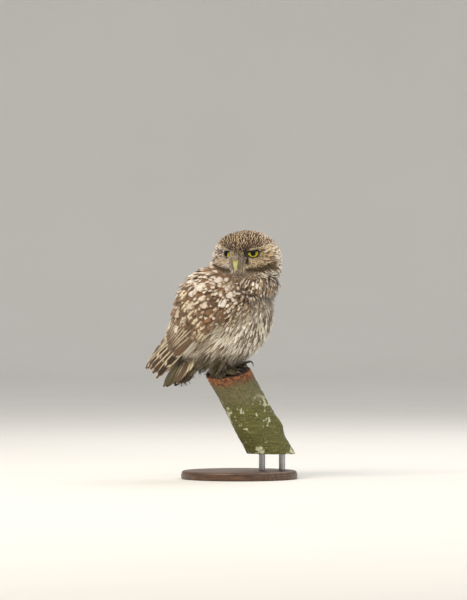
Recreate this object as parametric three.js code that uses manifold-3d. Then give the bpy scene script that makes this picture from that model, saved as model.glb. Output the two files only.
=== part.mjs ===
// A life-size little owl on the sawn end of a leaning branch, held by a plain display stand.
// Millimetres, +Z up. The bird is worked out about the middle of the sawn face, where +X is the way
// its body faces and +Y its left. At the end the group is moved so that the origin lies under the
// middle of the stand's base.

import * as THREE from "three";
import { mergeVertices } from "three/addons/utils/BufferGeometryUtils.js";
import Module from "manifold-3d";

const wasm = await Module();
wasm.setup();

const { cos, sin, sqrt, abs, sign, min, max, hypot, PI } = Math;
const { degToRad: radians, lerp, clamp, smoothstep } = THREE.MathUtils;
const point = (x, y, z) => new THREE.Vector3(x, y, z);

// Room that neighbouring pieces leave between their faces
const GAP = 0.3;

// The fluffed body, round from the side, and the line that back and wings slope down
const BALL_CENTRE = point(-7.5, 0, 66.3);
const BALL_RADIUS = 56.5;
const BACK_SLOPE = radians(37);
const SIDE_SHARE = 0.83;
const WING_DEPTH = 6;
const TORSO_REAR = 62;
const BLADE = 0.6;

// Neck and upper breast
const NECK = { centre: point(27, 0, 103), size: point(31, 32, 27), top: 113 };

// The head looks over the right shoulder
const HEAD = { centre: point(21.3, 0, 125), depth: 33, width: 39, height: 33.4 };
const HEAD_TURN = radians(-92);
const HEAD_NOD = radians(5);
const EYE = { radius: 7.6, forward: 20.5, out: 14.5, up: 9.2, gaze: radians(24), tilt: radians(-4) };
const LID = { thick: 1, opening: 6.2, upper: 1.7, slant: radians(14) };
const BILL = { root: 27, up: 7, reach: 36.2, drop: 8.6, width: 8.6, depth: 8 };
const NOSTRIL = { radius: 1, x: 34.3, y: 3, z: 3.2 };

// Wings and tail: distances are along the slope of the back, from the middle of the ball
const WING = { front: -47, rear: 55, thick: 3.6, sink: 2.2, roll: 1, root: -3.3 };
const TAIL = { root: point(-33, 0, 49), drop: radians(54), length: 78, pairs: 6, width: 12, step: 1.3 };

// Legs, feet and claws
const LEG = { apart: 12, behind: -5, top: 7, ankle: 4.2 };
const TOE = { radius: 2.9, claw: 1.5 };

// The branch, its sawn face and the stand
const BRANCH = { radius: 23.5, shift: -0.9, knot: 0.14, bottom: -88 };
const LEAN = point(0.441, 0.161, -0.883);
const SAWN = { normal: point(-0.09, -0.3, 1).normalize(), rise: 1.6 };
const ROD = { radius: 3.5, length: 18, apart: 22 };
const BASE = { x: 10, y: 4, radius: 64, thick: 9, edge: 1.5 };

// Colours of the materials
const finish = (color, roughness = 0.85, metalness = 0) =>
  new THREE.MeshStandardMaterial({ color, roughness, metalness });
const FINISH = {
  brown: finish(0x7d6248),
  cream: finish(0xc9bda3),
  bill: finish(0xb9b35a, 0.45),
  eye: finish(0xe3d51f, 0.1),
  claw: finish(0x2b2623, 0.4),
  foot: finish(0xb3a88c),
  bark: finish(0x7d8066),
  wood: finish(0x5b4230, 0.5),
  metal: finish(0x9a9a98, 0.3, 1),
};

// A smooth function through pairs [x, y] given in order of x.
function profile(pairs) {
  const slope = pairs.map((_, i) => {
    const [a, b] = [pairs[max(i - 1, 0)], pairs[min(i + 1, pairs.length - 1)]];
    return (b[1] - a[1]) / (b[0] - a[0]);
  });
  return (x) => {
    const at = clamp(pairs.findIndex((p) => p[0] > x) - 1, -1, pairs.length - 2);
    const i = at < 0 ? (x < pairs[0][0] ? 0 : pairs.length - 2) : at;
    const [[x0, y0], [x1, y1]] = [pairs[i], pairs[i + 1]];
    const span = x1 - x0;
    const t = clamp((x - x0) / span, 0, 1);
    const [t2, t3] = [t * t, t * t * t];
    const ends = y0 * (2 * t3 - 3 * t2 + 1) + y1 * (3 * t2 - 2 * t3);
    return ends + span * (slope[i] * (t3 - 2 * t2 + t) + slope[i + 1] * (t3 - t2));
  };
}

const hump = (x) => Math.exp(-x * x);

// A closed geometry with its shared corners joined, no empty triangles and its faces looking out.
function welded(geometry) {
  const bare = geometry.clone();
  bare.deleteAttribute("normal");
  bare.deleteAttribute("uv");
  const merged = mergeVertices(bare, 1e-4);
  const { position } = merged.attributes;
  const corner = (i) => new THREE.Vector3().fromBufferAttribute(position, i);
  const index = [];
  let volume = 0;
  for (let i = 0; i < merged.index.count; i += 3) {
    const [a, b, c] = [0, 1, 2].map((k) => merged.index.getX(i + k));
    if (a === b || b === c || c === a) continue;
    index.push(a, b, c);
    volume += corner(a).dot(corner(b).cross(corner(c)));
  }
  merged.setIndex(volume > 0 ? index : index.reverse());
  return merged;
}

// A closed geometry as a solid.
function solid(geometry) {
  const { index, attributes } = welded(geometry);
  const mesh = new wasm.Mesh({
    numProp: 3,
    vertProperties: new Float32Array(attributes.position.array),
    triVerts: new Uint32Array(index.array),
  });
  mesh.merge();
  return new wasm.Manifold(mesh);
}

// A closed geometry with its surface moved outward.
function grown(geometry, distance) {
  const merged = welded(geometry);
  merged.computeVertexNormals();
  const { position, normal } = merged.attributes;
  const [place, out] = [new THREE.Vector3(), new THREE.Vector3()];
  for (let i = 0; i < position.count; i++) {
    out.fromBufferAttribute(normal, i);
    place.fromBufferAttribute(position, i).addScaledVector(out, distance);
    position.setXYZ(i, place.x, place.y, place.z);
  }
  return merged;
}

// A solid as a geometry, keeping only its largest closed surface.
function geometryOf(made) {
  const largest = made.decompose().sort((a, b) => b.volume() - a.volume())[0];
  const mesh = largest.getMesh();
  const geometry = new THREE.BufferGeometry();
  geometry.setAttribute("position", new THREE.BufferAttribute(mesh.vertProperties, 3));
  geometry.setIndex(new THREE.BufferAttribute(mesh.triVerts, 1));
  return geometry;
}

const join = (pieces) => pieces.reduce((a, b) => a.add(b));

// A sphere's grid laid out by place(t, turn): t goes from pole to pole, turn once round in radians.
function pod(around, along, place) {
  const geometry = new THREE.SphereGeometry(1, around, along);
  const { position, uv } = geometry.attributes;
  for (let i = 0; i < position.count; i++) {
    const t = Math.round((1 - uv.getY(i)) * along) / along;
    const turn = t % 1 === 0 ? 0 : (Math.round(uv.getX(i) * around) % around) / around;
    const at = place(t, turn * 2 * PI);
    position.setXYZ(i, at.x, at.y, at.z);
  }
  return geometry;
}

const ball = (radius, around, along) =>
  pod(around, along, (t, turn) =>
    point(cos(turn) * sin(PI * t), sin(turn) * sin(PI * t), cos(PI * t)).multiplyScalar(radius),
  );

// A plate whose two faces follow place(u, v, face), with u and v from 0 to 1 and face 1 or -1.
// Both faces are split into triangles alike.
function plate(along, across, place) {
  const grid = new THREE.PlaneGeometry(1, 1, along, across);
  const count = grid.attributes.position.count;
  const places = [1, -1].flatMap((face) =>
    Array.from({ length: count }, (_, i) =>
      place(grid.attributes.uv.getX(i), grid.attributes.uv.getY(i), face).toArray(),
    ),
  );
  const top = Array.from(grid.index.array);
  const under = top.toReversed().map((i) => i + count);
  const row = along + 1;
  const rim = [
    ...Array.from({ length: along }, (_, i) => i),
    ...Array.from({ length: across }, (_, i) => along + row * i),
    ...Array.from({ length: along }, (_, i) => row * across + along - i),
    ...Array.from({ length: across }, (_, i) => row * (across - i)),
  ];
  const wall = rim.flatMap((a, i) => {
    const b = rim[(i + 1) % rim.length];
    return [a, b, a + count, b, b + count, a + count];
  });
  const geometry = new THREE.BufferGeometry();
  geometry.setAttribute("position", new THREE.Float32BufferAttribute(places.flat(), 3));
  geometry.setIndex([...top, ...under, ...wall]);
  return geometry;
}

// A round body swept along a curve, its half-width and half-height given by size(t).
function sweep(curve, around, along, size, up) {
  return pod(around, along, (t, turn) => {
    const middle = curve.getPoint(t);
    const forward = curve.getTangent(t);
    const side = forward.clone().cross(up).normalize();
    const lift = side.clone().cross(forward).normalize();
    const [wide, high] = size(t);
    return middle.addScaledVector(side, wide * cos(turn)).addScaledVector(lift, high * sin(turn));
  });
}

const spline = (...points) => new THREE.CatmullRomCurve3(points, false, "centripetal");

// The body's outer form: how far it reaches from the axis that runs down the back's slope
const aft = point(-cos(BACK_SLOPE), 0, -sin(BACK_SLOPE));
const dorsal = point(-sin(BACK_SLOPE), 0, cos(BACK_SLOPE));
const round = (s) => sqrt(max(BALL_RADIUS ** 2 - s * s, 0));
const JOIN = 24;
const backLine = profile([
  [JOIN, 51.2], [40, 39.5], [52, 29.7], [64, 23.5], [76, 19.5], [88, 16.5], [98, 13], [106, 9],
]);
const sideLine = profile([
  [JOIN, 42.5], [40, 34.5], [52, 28], [64, 22.5], [76, 18.5], [88, 15.5], [106, 11],
]);
const reach = {
  back: (s) => (s < JOIN ? round(s) : backLine(s)),
  side: (s) => (s < JOIN ? SIDE_SHARE * round(s) : sideLine(s)),
};
const torsoBack = profile([[JOIN, 46], [40, 33], [50, 22], [57, 12.5], [61, 4.5], [TORSO_REAR, 0]]);
const torsoSide = profile([[JOIN, 36.5], [40, 27], [50, 19], [57, 11], [61, 4], [TORSO_REAR, 0]]);
const torsoBelly = profile([
  [JOIN, 51.2], [33, 47], [46, 36.5], [53, 27], [58, 17], [61, 7], [TORSO_REAR, 0],
]);

// A place at distance s along the axis and angle turn round it, 0 at the back and quarter turns at
// the sides, on an oval of the given half-sizes.
function around(s, turn, up, out) {
  return BALL_CENTRE.clone()
    .addScaledVector(aft, s)
    .addScaledVector(dorsal, up * cos(turn))
    .add(point(0, out * sin(turn), 0));
}

// A place on the outer form of a wing, raised by lift.
function onWing(s, turn, lift, side) {
  const place = around(s, turn, reach.back(s) + lift, reach.side(s) + lift);
  place.y *= side;
  return place;
}

function torsoForm(grow) {
  return pod(24, 17, (t, turn) => {
    const s = lerp(-BALL_RADIUS, TORSO_REAR, (1 - cos(PI * t)) / 2);
    const upper = cos(turn) > 0;
    const under = smoothstep(-cos(turn), 0.18, 0.45);
    const beside = smoothstep(s, -56, -36) * smoothstep(abs(sin(turn)), 0.1, 0.5);
    const recess = WING_DEPTH * (1 - under) * beside;
    const back = s < JOIN ? round(s) : torsoBack(s);
    const belly = s < JOIN ? round(s) : torsoBelly(s);
    const low = min(sideLine(s), torsoBelly(s));
    const out = s < JOIN ? SIDE_SHARE * round(s) : lerp(torsoSide(s), low, under);
    const sunk = s < JOIN ? recess : 0;
    const open = smoothstep(t, 0, 0.04) * smoothstep(1 - t, 0, 0.04);
    const more = grow * open - sunk;
    const end = (s < 0 ? -1 : 1) * grow * (1 - open);
    return around(s + end, turn, (upper ? back : belly) + more, out + more);
  });
}

const neckForm = (grow) =>
  new THREE.IcosahedronGeometry(1, 4)
    .scale(NECK.size.x + grow, NECK.size.y + grow, NECK.size.z + grow)
    .translate(...NECK.centre);

// From the head's own frame, where the face looks along +X, to the bird's.
const headFrame = new THREE.Matrix4().makeTranslation(HEAD.centre).multiply(
  new THREE.Matrix4().makeRotationFromEuler(new THREE.Euler(0, HEAD_NOD, HEAD_TURN, "ZYX")),
);

// The head's surface: a wide oval with a shallow bowl round each eye, brows and a disc rim.
function headForm(grow) {
  const geometry = new THREE.IcosahedronGeometry(1, 6);
  const { position } = geometry.attributes;
  const way = new THREE.Vector3();
  const eyeWay = point(EYE.forward, EYE.out, EYE.up - 1).normalize();
  for (let i = 0; i < position.count; i++) {
    way.fromBufferAttribute(position, i).normalize();
    const half = point(way.x, abs(way.y), way.z);
    const off = half.angleTo(eyeWay);
    const bowl = 3.4 * hump(off / 0.36);
    const rim = way.x > -0.2 ? 1.6 * hump((off - 0.74) / 0.16) : 0;
    const facing = way.x > 0 ? 1 : 0;
    const brow = 2.6 * facing * hump((way.z - 0.52) / 0.1) * hump((half.y - 0.3) / 0.32);
    const nose = 2.5 * facing * hump(way.y / 0.16) * hump((way.z - 0.22) / 0.25);
    const radius = 1 / hypot(way.x / HEAD.depth, way.y / HEAD.width, way.z / HEAD.height);
    way.multiplyScalar(radius - bowl + rim + brow + nose + grow);
    position.setXYZ(i, way.x, way.y, way.z);
  }
  return geometry;
}

const eyePlace = (side) => point(EYE.forward, side * EYE.out, EYE.up);

// Turns and moves a geometry from an eye's own frame, with its gaze along +X, to the head's.
function atEye(geometry, side) {
  const gaze = new THREE.Euler(0, -EYE.tilt, side * EYE.gaze, "ZYX");
  const turn = new THREE.Matrix4().makeRotationFromEuler(gaze);
  return geometry.applyMatrix4(turn).translate(...eyePlace(side));
}

// The opening between the lids: a round window whose top is cut straight, sloping to the bill.
function lidOpening(side) {
  const window = new THREE.Shape();
  const r = LID.opening;
  const start = Math.asin(LID.upper / r);
  window.absarc(0, 0, r, start, PI - start, true);
  window.closePath();
  const cut = new THREE.ExtrudeGeometry(window, { depth: 20, bevelEnabled: false, curveSegments: 9 });
  cut.rotateZ(side * LID.slant).rotateY(PI / 2).rotateX(PI / 2);
  return atEye(cut, side);
}

const eyeBall = (grow) => ball(EYE.radius + grow, 14, 10).rotateY(PI / 2);

// The bill's upper half, hooked over the lower one.
function upperBill() {
  const line = spline(
    point(BILL.root, 0, BILL.up),
    point(BILL.reach - 2.6, 0, BILL.up - 3.4),
    point(BILL.reach, 0, -2.5),
    point(BILL.reach - 1.2, 0, -BILL.drop + 2.5),
    point(BILL.reach - 3.2, 0, -BILL.drop),
  );
  const size = (t) => {
    const taper = (1 - 0.86 * t ** 1.6) * sqrt(clamp(12 * t * (1 - t), 0, 1));
    return [(BILL.width / 2) * taper, (BILL.depth / 2) * taper];
  };
  return sweep(line, 12, 12, size, point(0, 1, 0));
}

function lowerBill() {
  const line = spline(
    point(BILL.root, 0, -4),
    point(BILL.reach - 4, 0, -5.8),
    point(BILL.reach - 1.8, 0, -BILL.drop + 0.8),
  );
  const size = (t) => {
    const taper = (1 - 0.6 * t) * sqrt(clamp(10 * t * (1 - t), 0, 1));
    return [2.9 * taper, 2.4 * taper];
  };
  return sweep(line, 10, 8, size, point(0, 1, 0));
}

function headSolids() {
  const eyes = [1, -1].map((side) => solid(atEye(eyeBall(0), side)));
  const nostrils = [1, -1].map((side) =>
    solid(ball(NOSTRIL.radius, 6, 4).translate(NOSTRIL.x, side * NOSTRIL.y, NOSTRIL.z)),
  );
  const upper = solid(upperBill()).subtract(join(nostrils));
  const upperRoom = solid(grown(upperBill(), GAP));
  const lower = solid(lowerBill()).subtract(upperRoom);
  let head = solid(headForm(0));
  for (const side of [1, -1]) {
    head = head
      .add(solid(atEye(eyeBall(LID.thick + GAP), side)))
      .subtract(solid(lidOpening(side)))
      .subtract(solid(atEye(eyeBall(GAP), side)));
  }
  head = head.subtract(upperRoom).subtract(solid(grown(lowerBill(), GAP)));
  return { head, eyes, upper, lower, upperRoom };
}

// A feather's width along its length, as a share of the widest
const SHARE = profile([[0, 0.55], [0.3, 0.95], [0.65, 1], [0.88, 0.74], [1, 0.26]]);

// A thin feather along line(t), which gives its middle and the way out of the surface. Its steps lie
// closer together at the tip, and roll lifts one edge and lowers the other.
function vane(line, width, roll) {
  const geometry = new THREE.BoxGeometry(1, 1, 1, 3, 1, 1);
  const { position } = geometry.attributes;
  const step = 0.02;
  for (let i = 0; i < position.count; i++) {
    const t = 1 - (0.5 - position.getX(i)) ** 1.35;
    const { at, out } = line(t);
    const forward = line(t + step).at.sub(line(t - step).at).normalize();
    const side = forward.clone().cross(out).normalize();
    const across = 2 * position.getZ(i);
    at.addScaledVector(side, (across * width * SHARE(t)) / 2);
    at.addScaledVector(out, position.getY(i) * BLADE + across * roll);
    position.setXYZ(i, at.x, at.y, at.z);
  }
  return geometry;
}

// A line over the wing's outer form between two places, each [distance, turn in degrees], that
// rises from the root's lift to the tip's.
const wingLine = (from, to, [root, tip], droop, side) => (t) => {
  const [s, turn] = [0, 1].map((k) => lerp(from[k], to[k], t));
  const lift = lerp(root, tip, t) + droop * t ** 3;
  const at = onWing(s, radians(turn), lift, side);
  const out = onWing(s, radians(turn), lift + 1, side).sub(at).normalize();
  return { at, out };
};

// The wing's edges: its turn from the middle of the back, in degrees, along its length
const wingTop = profile([[-47, 74], [-38, 48], [-25, 28], [0, 20], [30, 14], [62, 12]]);
const wingLow = profile([[-47, 92], [-20, 100], [0, 103], [30, 106], [62, 110]]);

// Rows of feathers over the wing, the lowest first: tertials, secondaries, edge coverts, alula,
// greater and median coverts and three rows of scapulars. Each has its count, its feathers' width,
// how far their tips stand off, and the roots and tips of its first and last feather as
// [distance, turn in degrees]
const row = (count, width, tip, roots, tips) => ({ count, width, tip, roots, tips });
const WING_ROWS = [
  row(2, 12, 0.9, [[6, 24], [6, 35]], [[54, 17], [60, 27]]),
  row(6, 13, 0.1, [[8, 44], [12, 96]], [[62, 39], [66, 105]]),
  row(2, 9, 0.7, [[-6, 92], [-9, 98]], [[36, 100], [30, 110]]),
  row(2, 8, 0.7, [[-32, 92], [-33, 96]], [[4, 100], [-2, 106]]),
  row(4, 15, 1.2, [[-14, 46], [-12, 86]], [[22, 43], [25, 93]]),
  row(3, 17, 1.6, [[-33, 55], [-31, 84]], [[-1, 50], [2, 88]]),
  row(2, 15, 2.4, [[4, 22], [6, 36]], [[40, 15], [40, 32]]),
  row(3, 15, 2.4, [[-15, 23], [-12, 46]], [[17, 16], [18, 41]]),
  row(2, 16, 2.4, [[-34, 33], [-31, 50]], [[-4, 21], [-4, 40]]),
];

// The primaries, innermost first: their tips' distance and turn, and how far they stand off
const PRIMARIES = {
  count: 8,
  width: 9,
  roll: 1.7,
  roots: [[40, 38], [40, 98]],
  root: -4,
  tip: -1,
  reach: profile([[0, 78], [3, 97], [5, 106], [6, 104], [7, 96]]),
  turn: profile([[0, 26], [3, 46], [5, 68], [6, 98], [7, 126]]),
  droop: profile([[0, 0], [5, 0.5], [6, 6], [7, 13]]),
};

function wingPad(side) {
  return plate(8, 4, (u, v, face) => {
    const s = lerp(WING.front, WING.rear, u);
    const turn = radians(lerp(wingTop(s), wingLow(s), v));
    const full = sqrt(clamp(4 * v * (1 - v), 0, 1)) * sqrt(clamp(5 * u, 0, 1));
    const thick = lerp(1, lerp(WING.thick, 1.2, smoothstep(s, 24, 52)), full);
    return onWing(s, turn, -WING.sink - 0.8 * (1 - full) - (face > 0 ? 0 : thick), side);
  });
}

function wingSolid(side) {
  const vanes = WING_ROWS.flatMap(({ count, roots, tips, tip, width }) =>
    Array.from({ length: count }, (_, i) => {
      const [from, to] = [roots, tips].map(([first, last]) =>
        first.map((value, k) => lerp(value, last[k], i / (count - 1))),
      );
      return vane(wingLine(from, to, [WING.root, tip], 0, side), width, side * WING.roll);
    }),
  );
  const { count, roots, reach: far, turn, droop, width } = PRIMARIES;
  for (let i = 0; i < count; i++) {
    const root = roots[0].map((value, k) => lerp(value, roots[1][k], i / (count - 1)));
    const line = wingLine(root, [far(i), turn(i)], [PRIMARIES.root, PRIMARIES.tip], droop(i), side);
    vanes.push(vane(line, width, side * PRIMARIES.roll));
  }
  return join([solid(wingPad(side)), ...vanes.map(solid)]);
}

// The tail: feathers stacked like a closed fan that falls away to both sides, the middle pair on
// top, with softer coverts over and under their roots
function tailSolid() {
  const along = point(-cos(TAIL.drop), 0, -sin(TAIL.drop));
  const above = point(-sin(TAIL.drop), 0, cos(TAIL.drop));
  const line = (start, length, spread, fall, dive) => (t) => {
    const at = TAIL.root
      .clone()
      .addScaledVector(along, start + t * length)
      .addScaledVector(above, -lerp(fall[0], fall[1], t) - dive * t * t);
    at.y += lerp(spread[0], spread[1], t);
    return { at, out: above };
  };
  const vanes = [];
  for (const side of [1, -1]) {
    for (let i = 0; i < TAIL.pairs; i++) {
      const share = i / (TAIL.pairs - 1);
      const spread = [side * (1.2 + 3 * share), side * (2 + 13 * share)];
      const fall = [TAIL.step * i, TAIL.step * i + 9 * share ** 1.3];
      const length = TAIL.length * (1 - 0.22 * share * share);
      vanes.push(vane(line(0, length, spread, fall, 0), TAIL.width, side * (0.9 + 0.3 * share)));
    }
    for (let i = 0; i < 2; i++) {
      const spread = [side * (2 + 4 * i), side * (3.5 + 7 * i)];
      vanes.push(vane(line(15, 24 - 4 * i, spread, [0.5, -1.4 + 3 * i], 0), 12, side * (0.5 + 1.6 * i)));
    }
    for (let i = 0; i < 2; i++) {
      const spread = [side * (3 + 1.5 * i), side * (4 + 2.5 * i)];
      vanes.push(vane(line(18, 42 - 12 * i, spread, [10, 14 + 2 * i], 1), 12, side * 0.8));
    }
  }
  const hub = ball(1, 8, 6).scale(20, 8.5, 8).rotateY(PI - TAIL.drop);
  const middle = TAIL.root.clone().addScaledVector(along, 33).addScaledVector(above, -8);
  return join([solid(hub.translate(...middle)), ...vanes.map(solid)]);
}

// The height of the sawn face above a place.
const sawnHeight = (x, y) => SAWN.rise - (SAWN.normal.x * x + SAWN.normal.y * y) / SAWN.normal.z;

function legForm(foot) {
  const line = spline(
    foot.clone().add(point(-3, 0, 24)),
    foot.clone().add(point(-1, 0, 13)),
    foot.clone().add(point(0, 0, 3.5)),
  );
  const size = (t) => {
    const r = lerp(LEG.top, LEG.ankle, t) * sqrt(clamp(14 * t * (1 - t), 0, 1));
    return [r, r];
  };
  return solid(sweep(line, 10, 7, size, point(1, 0, 0)));
}

// Toes by their length and their heading, in degrees outward from the way the body faces.
const TOES = [
  { name: "inner", heading: -12, length: 17 },
  { name: "middle", heading: 16, length: 20 },
  { name: "outer", heading: 72, length: 15 },
  { name: "hind", heading: -168, length: 13 },
];

// The line of one toe over the sawn face, from the ankle, and of its claw.
function toeLines(foot, side, toe) {
  const heading = radians(toe.heading) * side;
  const go = point(cos(heading), sin(heading), 0);
  const at = (distance, height) => {
    const place = foot.clone().addScaledVector(go, distance);
    place.z = sawnHeight(place.x, place.y) + height;
    return place;
  };
  const r = TOE.radius;
  const toeLine = spline(
    at(-1, r + 2.6),
    at(toe.length * 0.35, r + 1.5),
    at(toe.length * 0.7, r + 0.6),
    at(toe.length, r + 0.5),
  );
  const tip = at(toe.length + 7, 0);
  const over = hypot(tip.x, tip.y) > BRANCH.radius + 2.5;
  const claw = spline(
    at(toe.length - 1, r + 0.9),
    at(toe.length + 3.2, r + 1.6),
    at(toe.length + 6, over ? r - 0.4 : r + 0.4),
    at(toe.length + 7.2, over ? -2.6 : 1.2),
  );
  return { toeLine, claw };
}

function footSolids(side) {
  const foot = point(LEG.behind, side * LEG.apart, sawnHeight(LEG.behind, side * LEG.apart));
  const toes = [];
  const claws = [];
  for (const toe of TOES) {
    const { toeLine, claw } = toeLines(foot, side, toe);
    const toeSize = (t) => {
      const r = TOE.radius * lerp(1.1, 0.85, t) * sqrt(clamp(9 * t * (1 - t), 0, 1));
      return [r, r];
    };
    toes.push(solid(sweep(toeLine, 8, 6, toeSize, point(0, 0, 1))));
    const clawSize = (t) => {
      const r = TOE.claw * (1 - 0.85 * t) * sqrt(clamp(16 * t * (1 - t), 0, 1));
      return [r * 0.9, r * 1.1];
    };
    const horn = sweep(claw, 7, 6, clawSize, point(0, 0, 1));
    claws.push({ name: toe.name, claw: solid(horn), room: solid(grown(horn, GAP)) });
  }
  let paw = join([legForm(foot), ...toes]);
  for (const { room } of claws) paw = paw.subtract(room);
  return { paw, claws };
}

const angleBetween = (a, b) => Math.atan2(sin(a - b), cos(a - b));

// The branch, a little uneven and with a knot, its face sawn aslant and its foot cut level.
function branchForm(grow) {
  const length = 150;
  const radius = BRANCH.radius + grow;
  const geometry = new THREE.CylinderGeometry(radius, radius, length, 24, 12);
  const { position } = geometry.attributes;
  for (let i = 0; i < position.count; i++) {
    const [x, y, z] = [position.getX(i), position.getY(i), position.getZ(i)];
    const turn = Math.atan2(z, x);
    const knot = BRANCH.knot * hump((y + 25) / 10) * hump(angleBetween(turn, 0.35) / 0.4);
    const swell = 1 + 0.018 * sin(3 * turn + y * 0.05) + 0.012 * sin(y * 0.11 + 2) + knot;
    position.setXYZ(i, x * swell, y, z * swell);
  }
  const axis = LEAN.clone().normalize();
  const turn = new THREE.Quaternion().setFromUnitVectors(point(0, -1, 0), axis);
  const middle = axis.clone().multiplyScalar(50).add(point(BRANCH.shift, 0, 0));
  return geometry.applyQuaternion(turn).translate(...middle);
}

function standSolids() {
  const reachDown = BRANCH.bottom / LEAN.z;
  const footMiddle = LEAN.clone().multiplyScalar(reachDown);
  const flat = point(LEAN.x, LEAN.y, 0).normalize();
  const rodTop = BRANCH.bottom - GAP;
  const rods = [-0.5, 0.5].map((share) => {
    const at = footMiddle.clone().addScaledVector(flat, share * ROD.apart);
    return solid(
      new THREE.CylinderGeometry(ROD.radius, ROD.radius, ROD.length, 16)
        .rotateX(PI / 2)
        .translate(at.x, at.y, rodTop - ROD.length / 2),
    );
  });
  const top = rodTop - ROD.length - GAP;
  const r = BASE.radius;
  const outline = [
    [0, 0],
    [r - BASE.edge, 0],
    [r, BASE.edge],
    [r, BASE.thick - BASE.edge],
    [r - BASE.edge, BASE.thick],
    [0, BASE.thick],
  ].map(([x, y]) => new THREE.Vector2(x, y));
  const base = solid(
    new THREE.LatheGeometry(outline, 40).rotateX(PI / 2).translate(BASE.x, BASE.y, top - BASE.thick),
  );
  return { rods, base, floor: top - BASE.thick };
}

// Putting the owl together: each piece is cut clear of what it grows from
const sawn = (grow) =>
  solid(branchForm(grow))
    .trimByPlane(SAWN.normal.clone().negate().toArray(), -SAWN.rise * SAWN.normal.z - grow)
    .trimByPlane([0, 0, 1], BRANCH.bottom);
const [perch, perchRoom] = [sawn(0), sawn(GAP)];
const headParts = headSolids();
const inBird = (made) => made.transform(headFrame.elements);
const headRoom = inBird(solid(headForm(GAP)));
const neckRoom = solid(neckForm(GAP));
const torsoRoom = solid(torsoForm(GAP));
const neck = solid(neckForm(0))
  .trimByPlane([0, 0, -1], -NECK.top)
  .subtract(headRoom)
  .subtract(inBird(headParts.upperRoom));
const torso = solid(torsoForm(0)).subtract(neckRoom).subtract(headRoom);
const wings = [1, -1].map((side) =>
  wingSolid(side).subtract(torsoRoom).subtract(neckRoom).subtract(headRoom),
);
const tail = tailSolid().subtract(torsoRoom);
const feet = [1, -1].map((side) => {
  const { paw, claws } = footSolids(side);
  return {
    paw: paw.subtract(torsoRoom).subtract(perchRoom),
    claws: claws.map(({ name, claw }) => ({ name, claw: claw.subtract(perchRoom) })),
  };
});
const stand = standSolids();

const group = new THREE.Group();
function add(name, made, material) {
  const mesh = new THREE.Mesh(geometryOf(made), material);
  mesh.name = name;
  group.add(mesh);
}

add("torso", torso, FINISH.cream);
add("neck", neck, FINISH.brown);
add("head", inBird(headParts.head), FINISH.brown);
add("bill_upper", inBird(headParts.upper), FINISH.bill);
add("bill_lower", inBird(headParts.lower), FINISH.bill);
add("tail", tail, FINISH.brown);
["left", "right"].forEach((name, i) => {
  add("eye_" + name, inBird(headParts.eyes[i]), FINISH.eye);
  add("wing_" + name, wings[i], FINISH.brown);
  add("foot_" + name, feet[i].paw, FINISH.foot);
  for (const { name: toe, claw } of feet[i].claws) add("claw_" + name + "_" + toe, claw, FINISH.claw);
});
add("perch", perch, FINISH.bark);
add("stand_base", stand.base, FINISH.wood);
stand.rods.forEach((rod, i) => add("stand_rod_" + (i + 1), rod, FINISH.metal));

group.position.set(-BASE.x, -BASE.y, -stand.floor);

export default group;
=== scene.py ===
"""A still, life-size little owl on the sawn end of a leaning branch, held by a plain stand.

Lengths are millimetres about the middle of the sawn face, where +X is the way the body faces and +Y
its left, and settle() turns them into the frame's metres.
"""

import logging
import math
from dataclasses import dataclass, field
from enum import Enum
from typing import Callable, ClassVar, Iterable, Sequence

import bpy
import numpy as np
from mathutils import Matrix, Vector, noise
from mathutils.bvhtree import BVHTree
from mathutils.kdtree import KDTree


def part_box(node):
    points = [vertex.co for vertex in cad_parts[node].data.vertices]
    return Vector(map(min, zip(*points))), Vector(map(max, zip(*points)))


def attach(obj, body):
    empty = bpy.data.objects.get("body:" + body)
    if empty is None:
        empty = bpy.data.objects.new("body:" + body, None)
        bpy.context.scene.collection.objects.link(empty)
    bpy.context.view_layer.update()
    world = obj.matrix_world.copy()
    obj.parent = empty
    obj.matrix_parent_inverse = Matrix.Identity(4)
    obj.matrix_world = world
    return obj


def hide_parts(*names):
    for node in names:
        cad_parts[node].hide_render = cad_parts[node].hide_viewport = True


log = logging.getLogger("owl")
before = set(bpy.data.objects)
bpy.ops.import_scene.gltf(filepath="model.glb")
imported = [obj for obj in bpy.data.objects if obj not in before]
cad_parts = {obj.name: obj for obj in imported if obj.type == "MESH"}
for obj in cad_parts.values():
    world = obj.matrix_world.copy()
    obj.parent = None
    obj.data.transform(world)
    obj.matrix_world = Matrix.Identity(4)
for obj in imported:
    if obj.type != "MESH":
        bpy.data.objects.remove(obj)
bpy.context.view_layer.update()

Array = np.ndarray
Object, Material = bpy.types.Object, bpy.types.Material
Value = "float | Socket"
Map = Callable[[Array], Array]
Draw = np.random.Generator

ORIGIN = np.array([-10.0, -4.0, 115.6])
SIDES = {1: "left", -1: "right"}
UP, LEFT = np.array([0.0, 0.0, 1.0]), np.array([0.0, 1.0, 0.0])
FOOT_X, FOOT_OUT, RIM_REACH = -5.0, 12.0, 26.0
TAIL_ROOT, TAIL_DROP = np.array([-33.0, 0.0, 49.0]), math.radians(54)
TAIL_ALONG = np.array([-math.cos(TAIL_DROP), 0, -math.sin(TAIL_DROP)])

# ---- numbers ------------------------------------------------------------------------------------


def settle(points: Array) -> Array:
    """Turns places in millimetres about the sawn face into the frame's metres."""
    return (np.asarray(points, float) + ORIGIN) * 0.001


def millimetres(places: Array) -> Array:
    """Turns places in the frame's metres into millimetres about the sawn face."""
    return np.asarray(places, float) * 1000 - ORIGIN


def tint(code: str) -> Array:
    """The linear colour of a hex code such as "8a6a4c"."""
    part = np.array([int(code[i:i + 2], 16) for i in (0, 2, 4)]) / 255.0
    return np.where(part <= 0.04045, part / 12.92, ((part + 0.055) / 1.055) ** 2.4)


def unit(v: Array) -> Array:
    """Vectors made one long."""
    return v / np.maximum(np.linalg.norm(v, axis=-1, keepdims=True), 1e-9)


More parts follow.
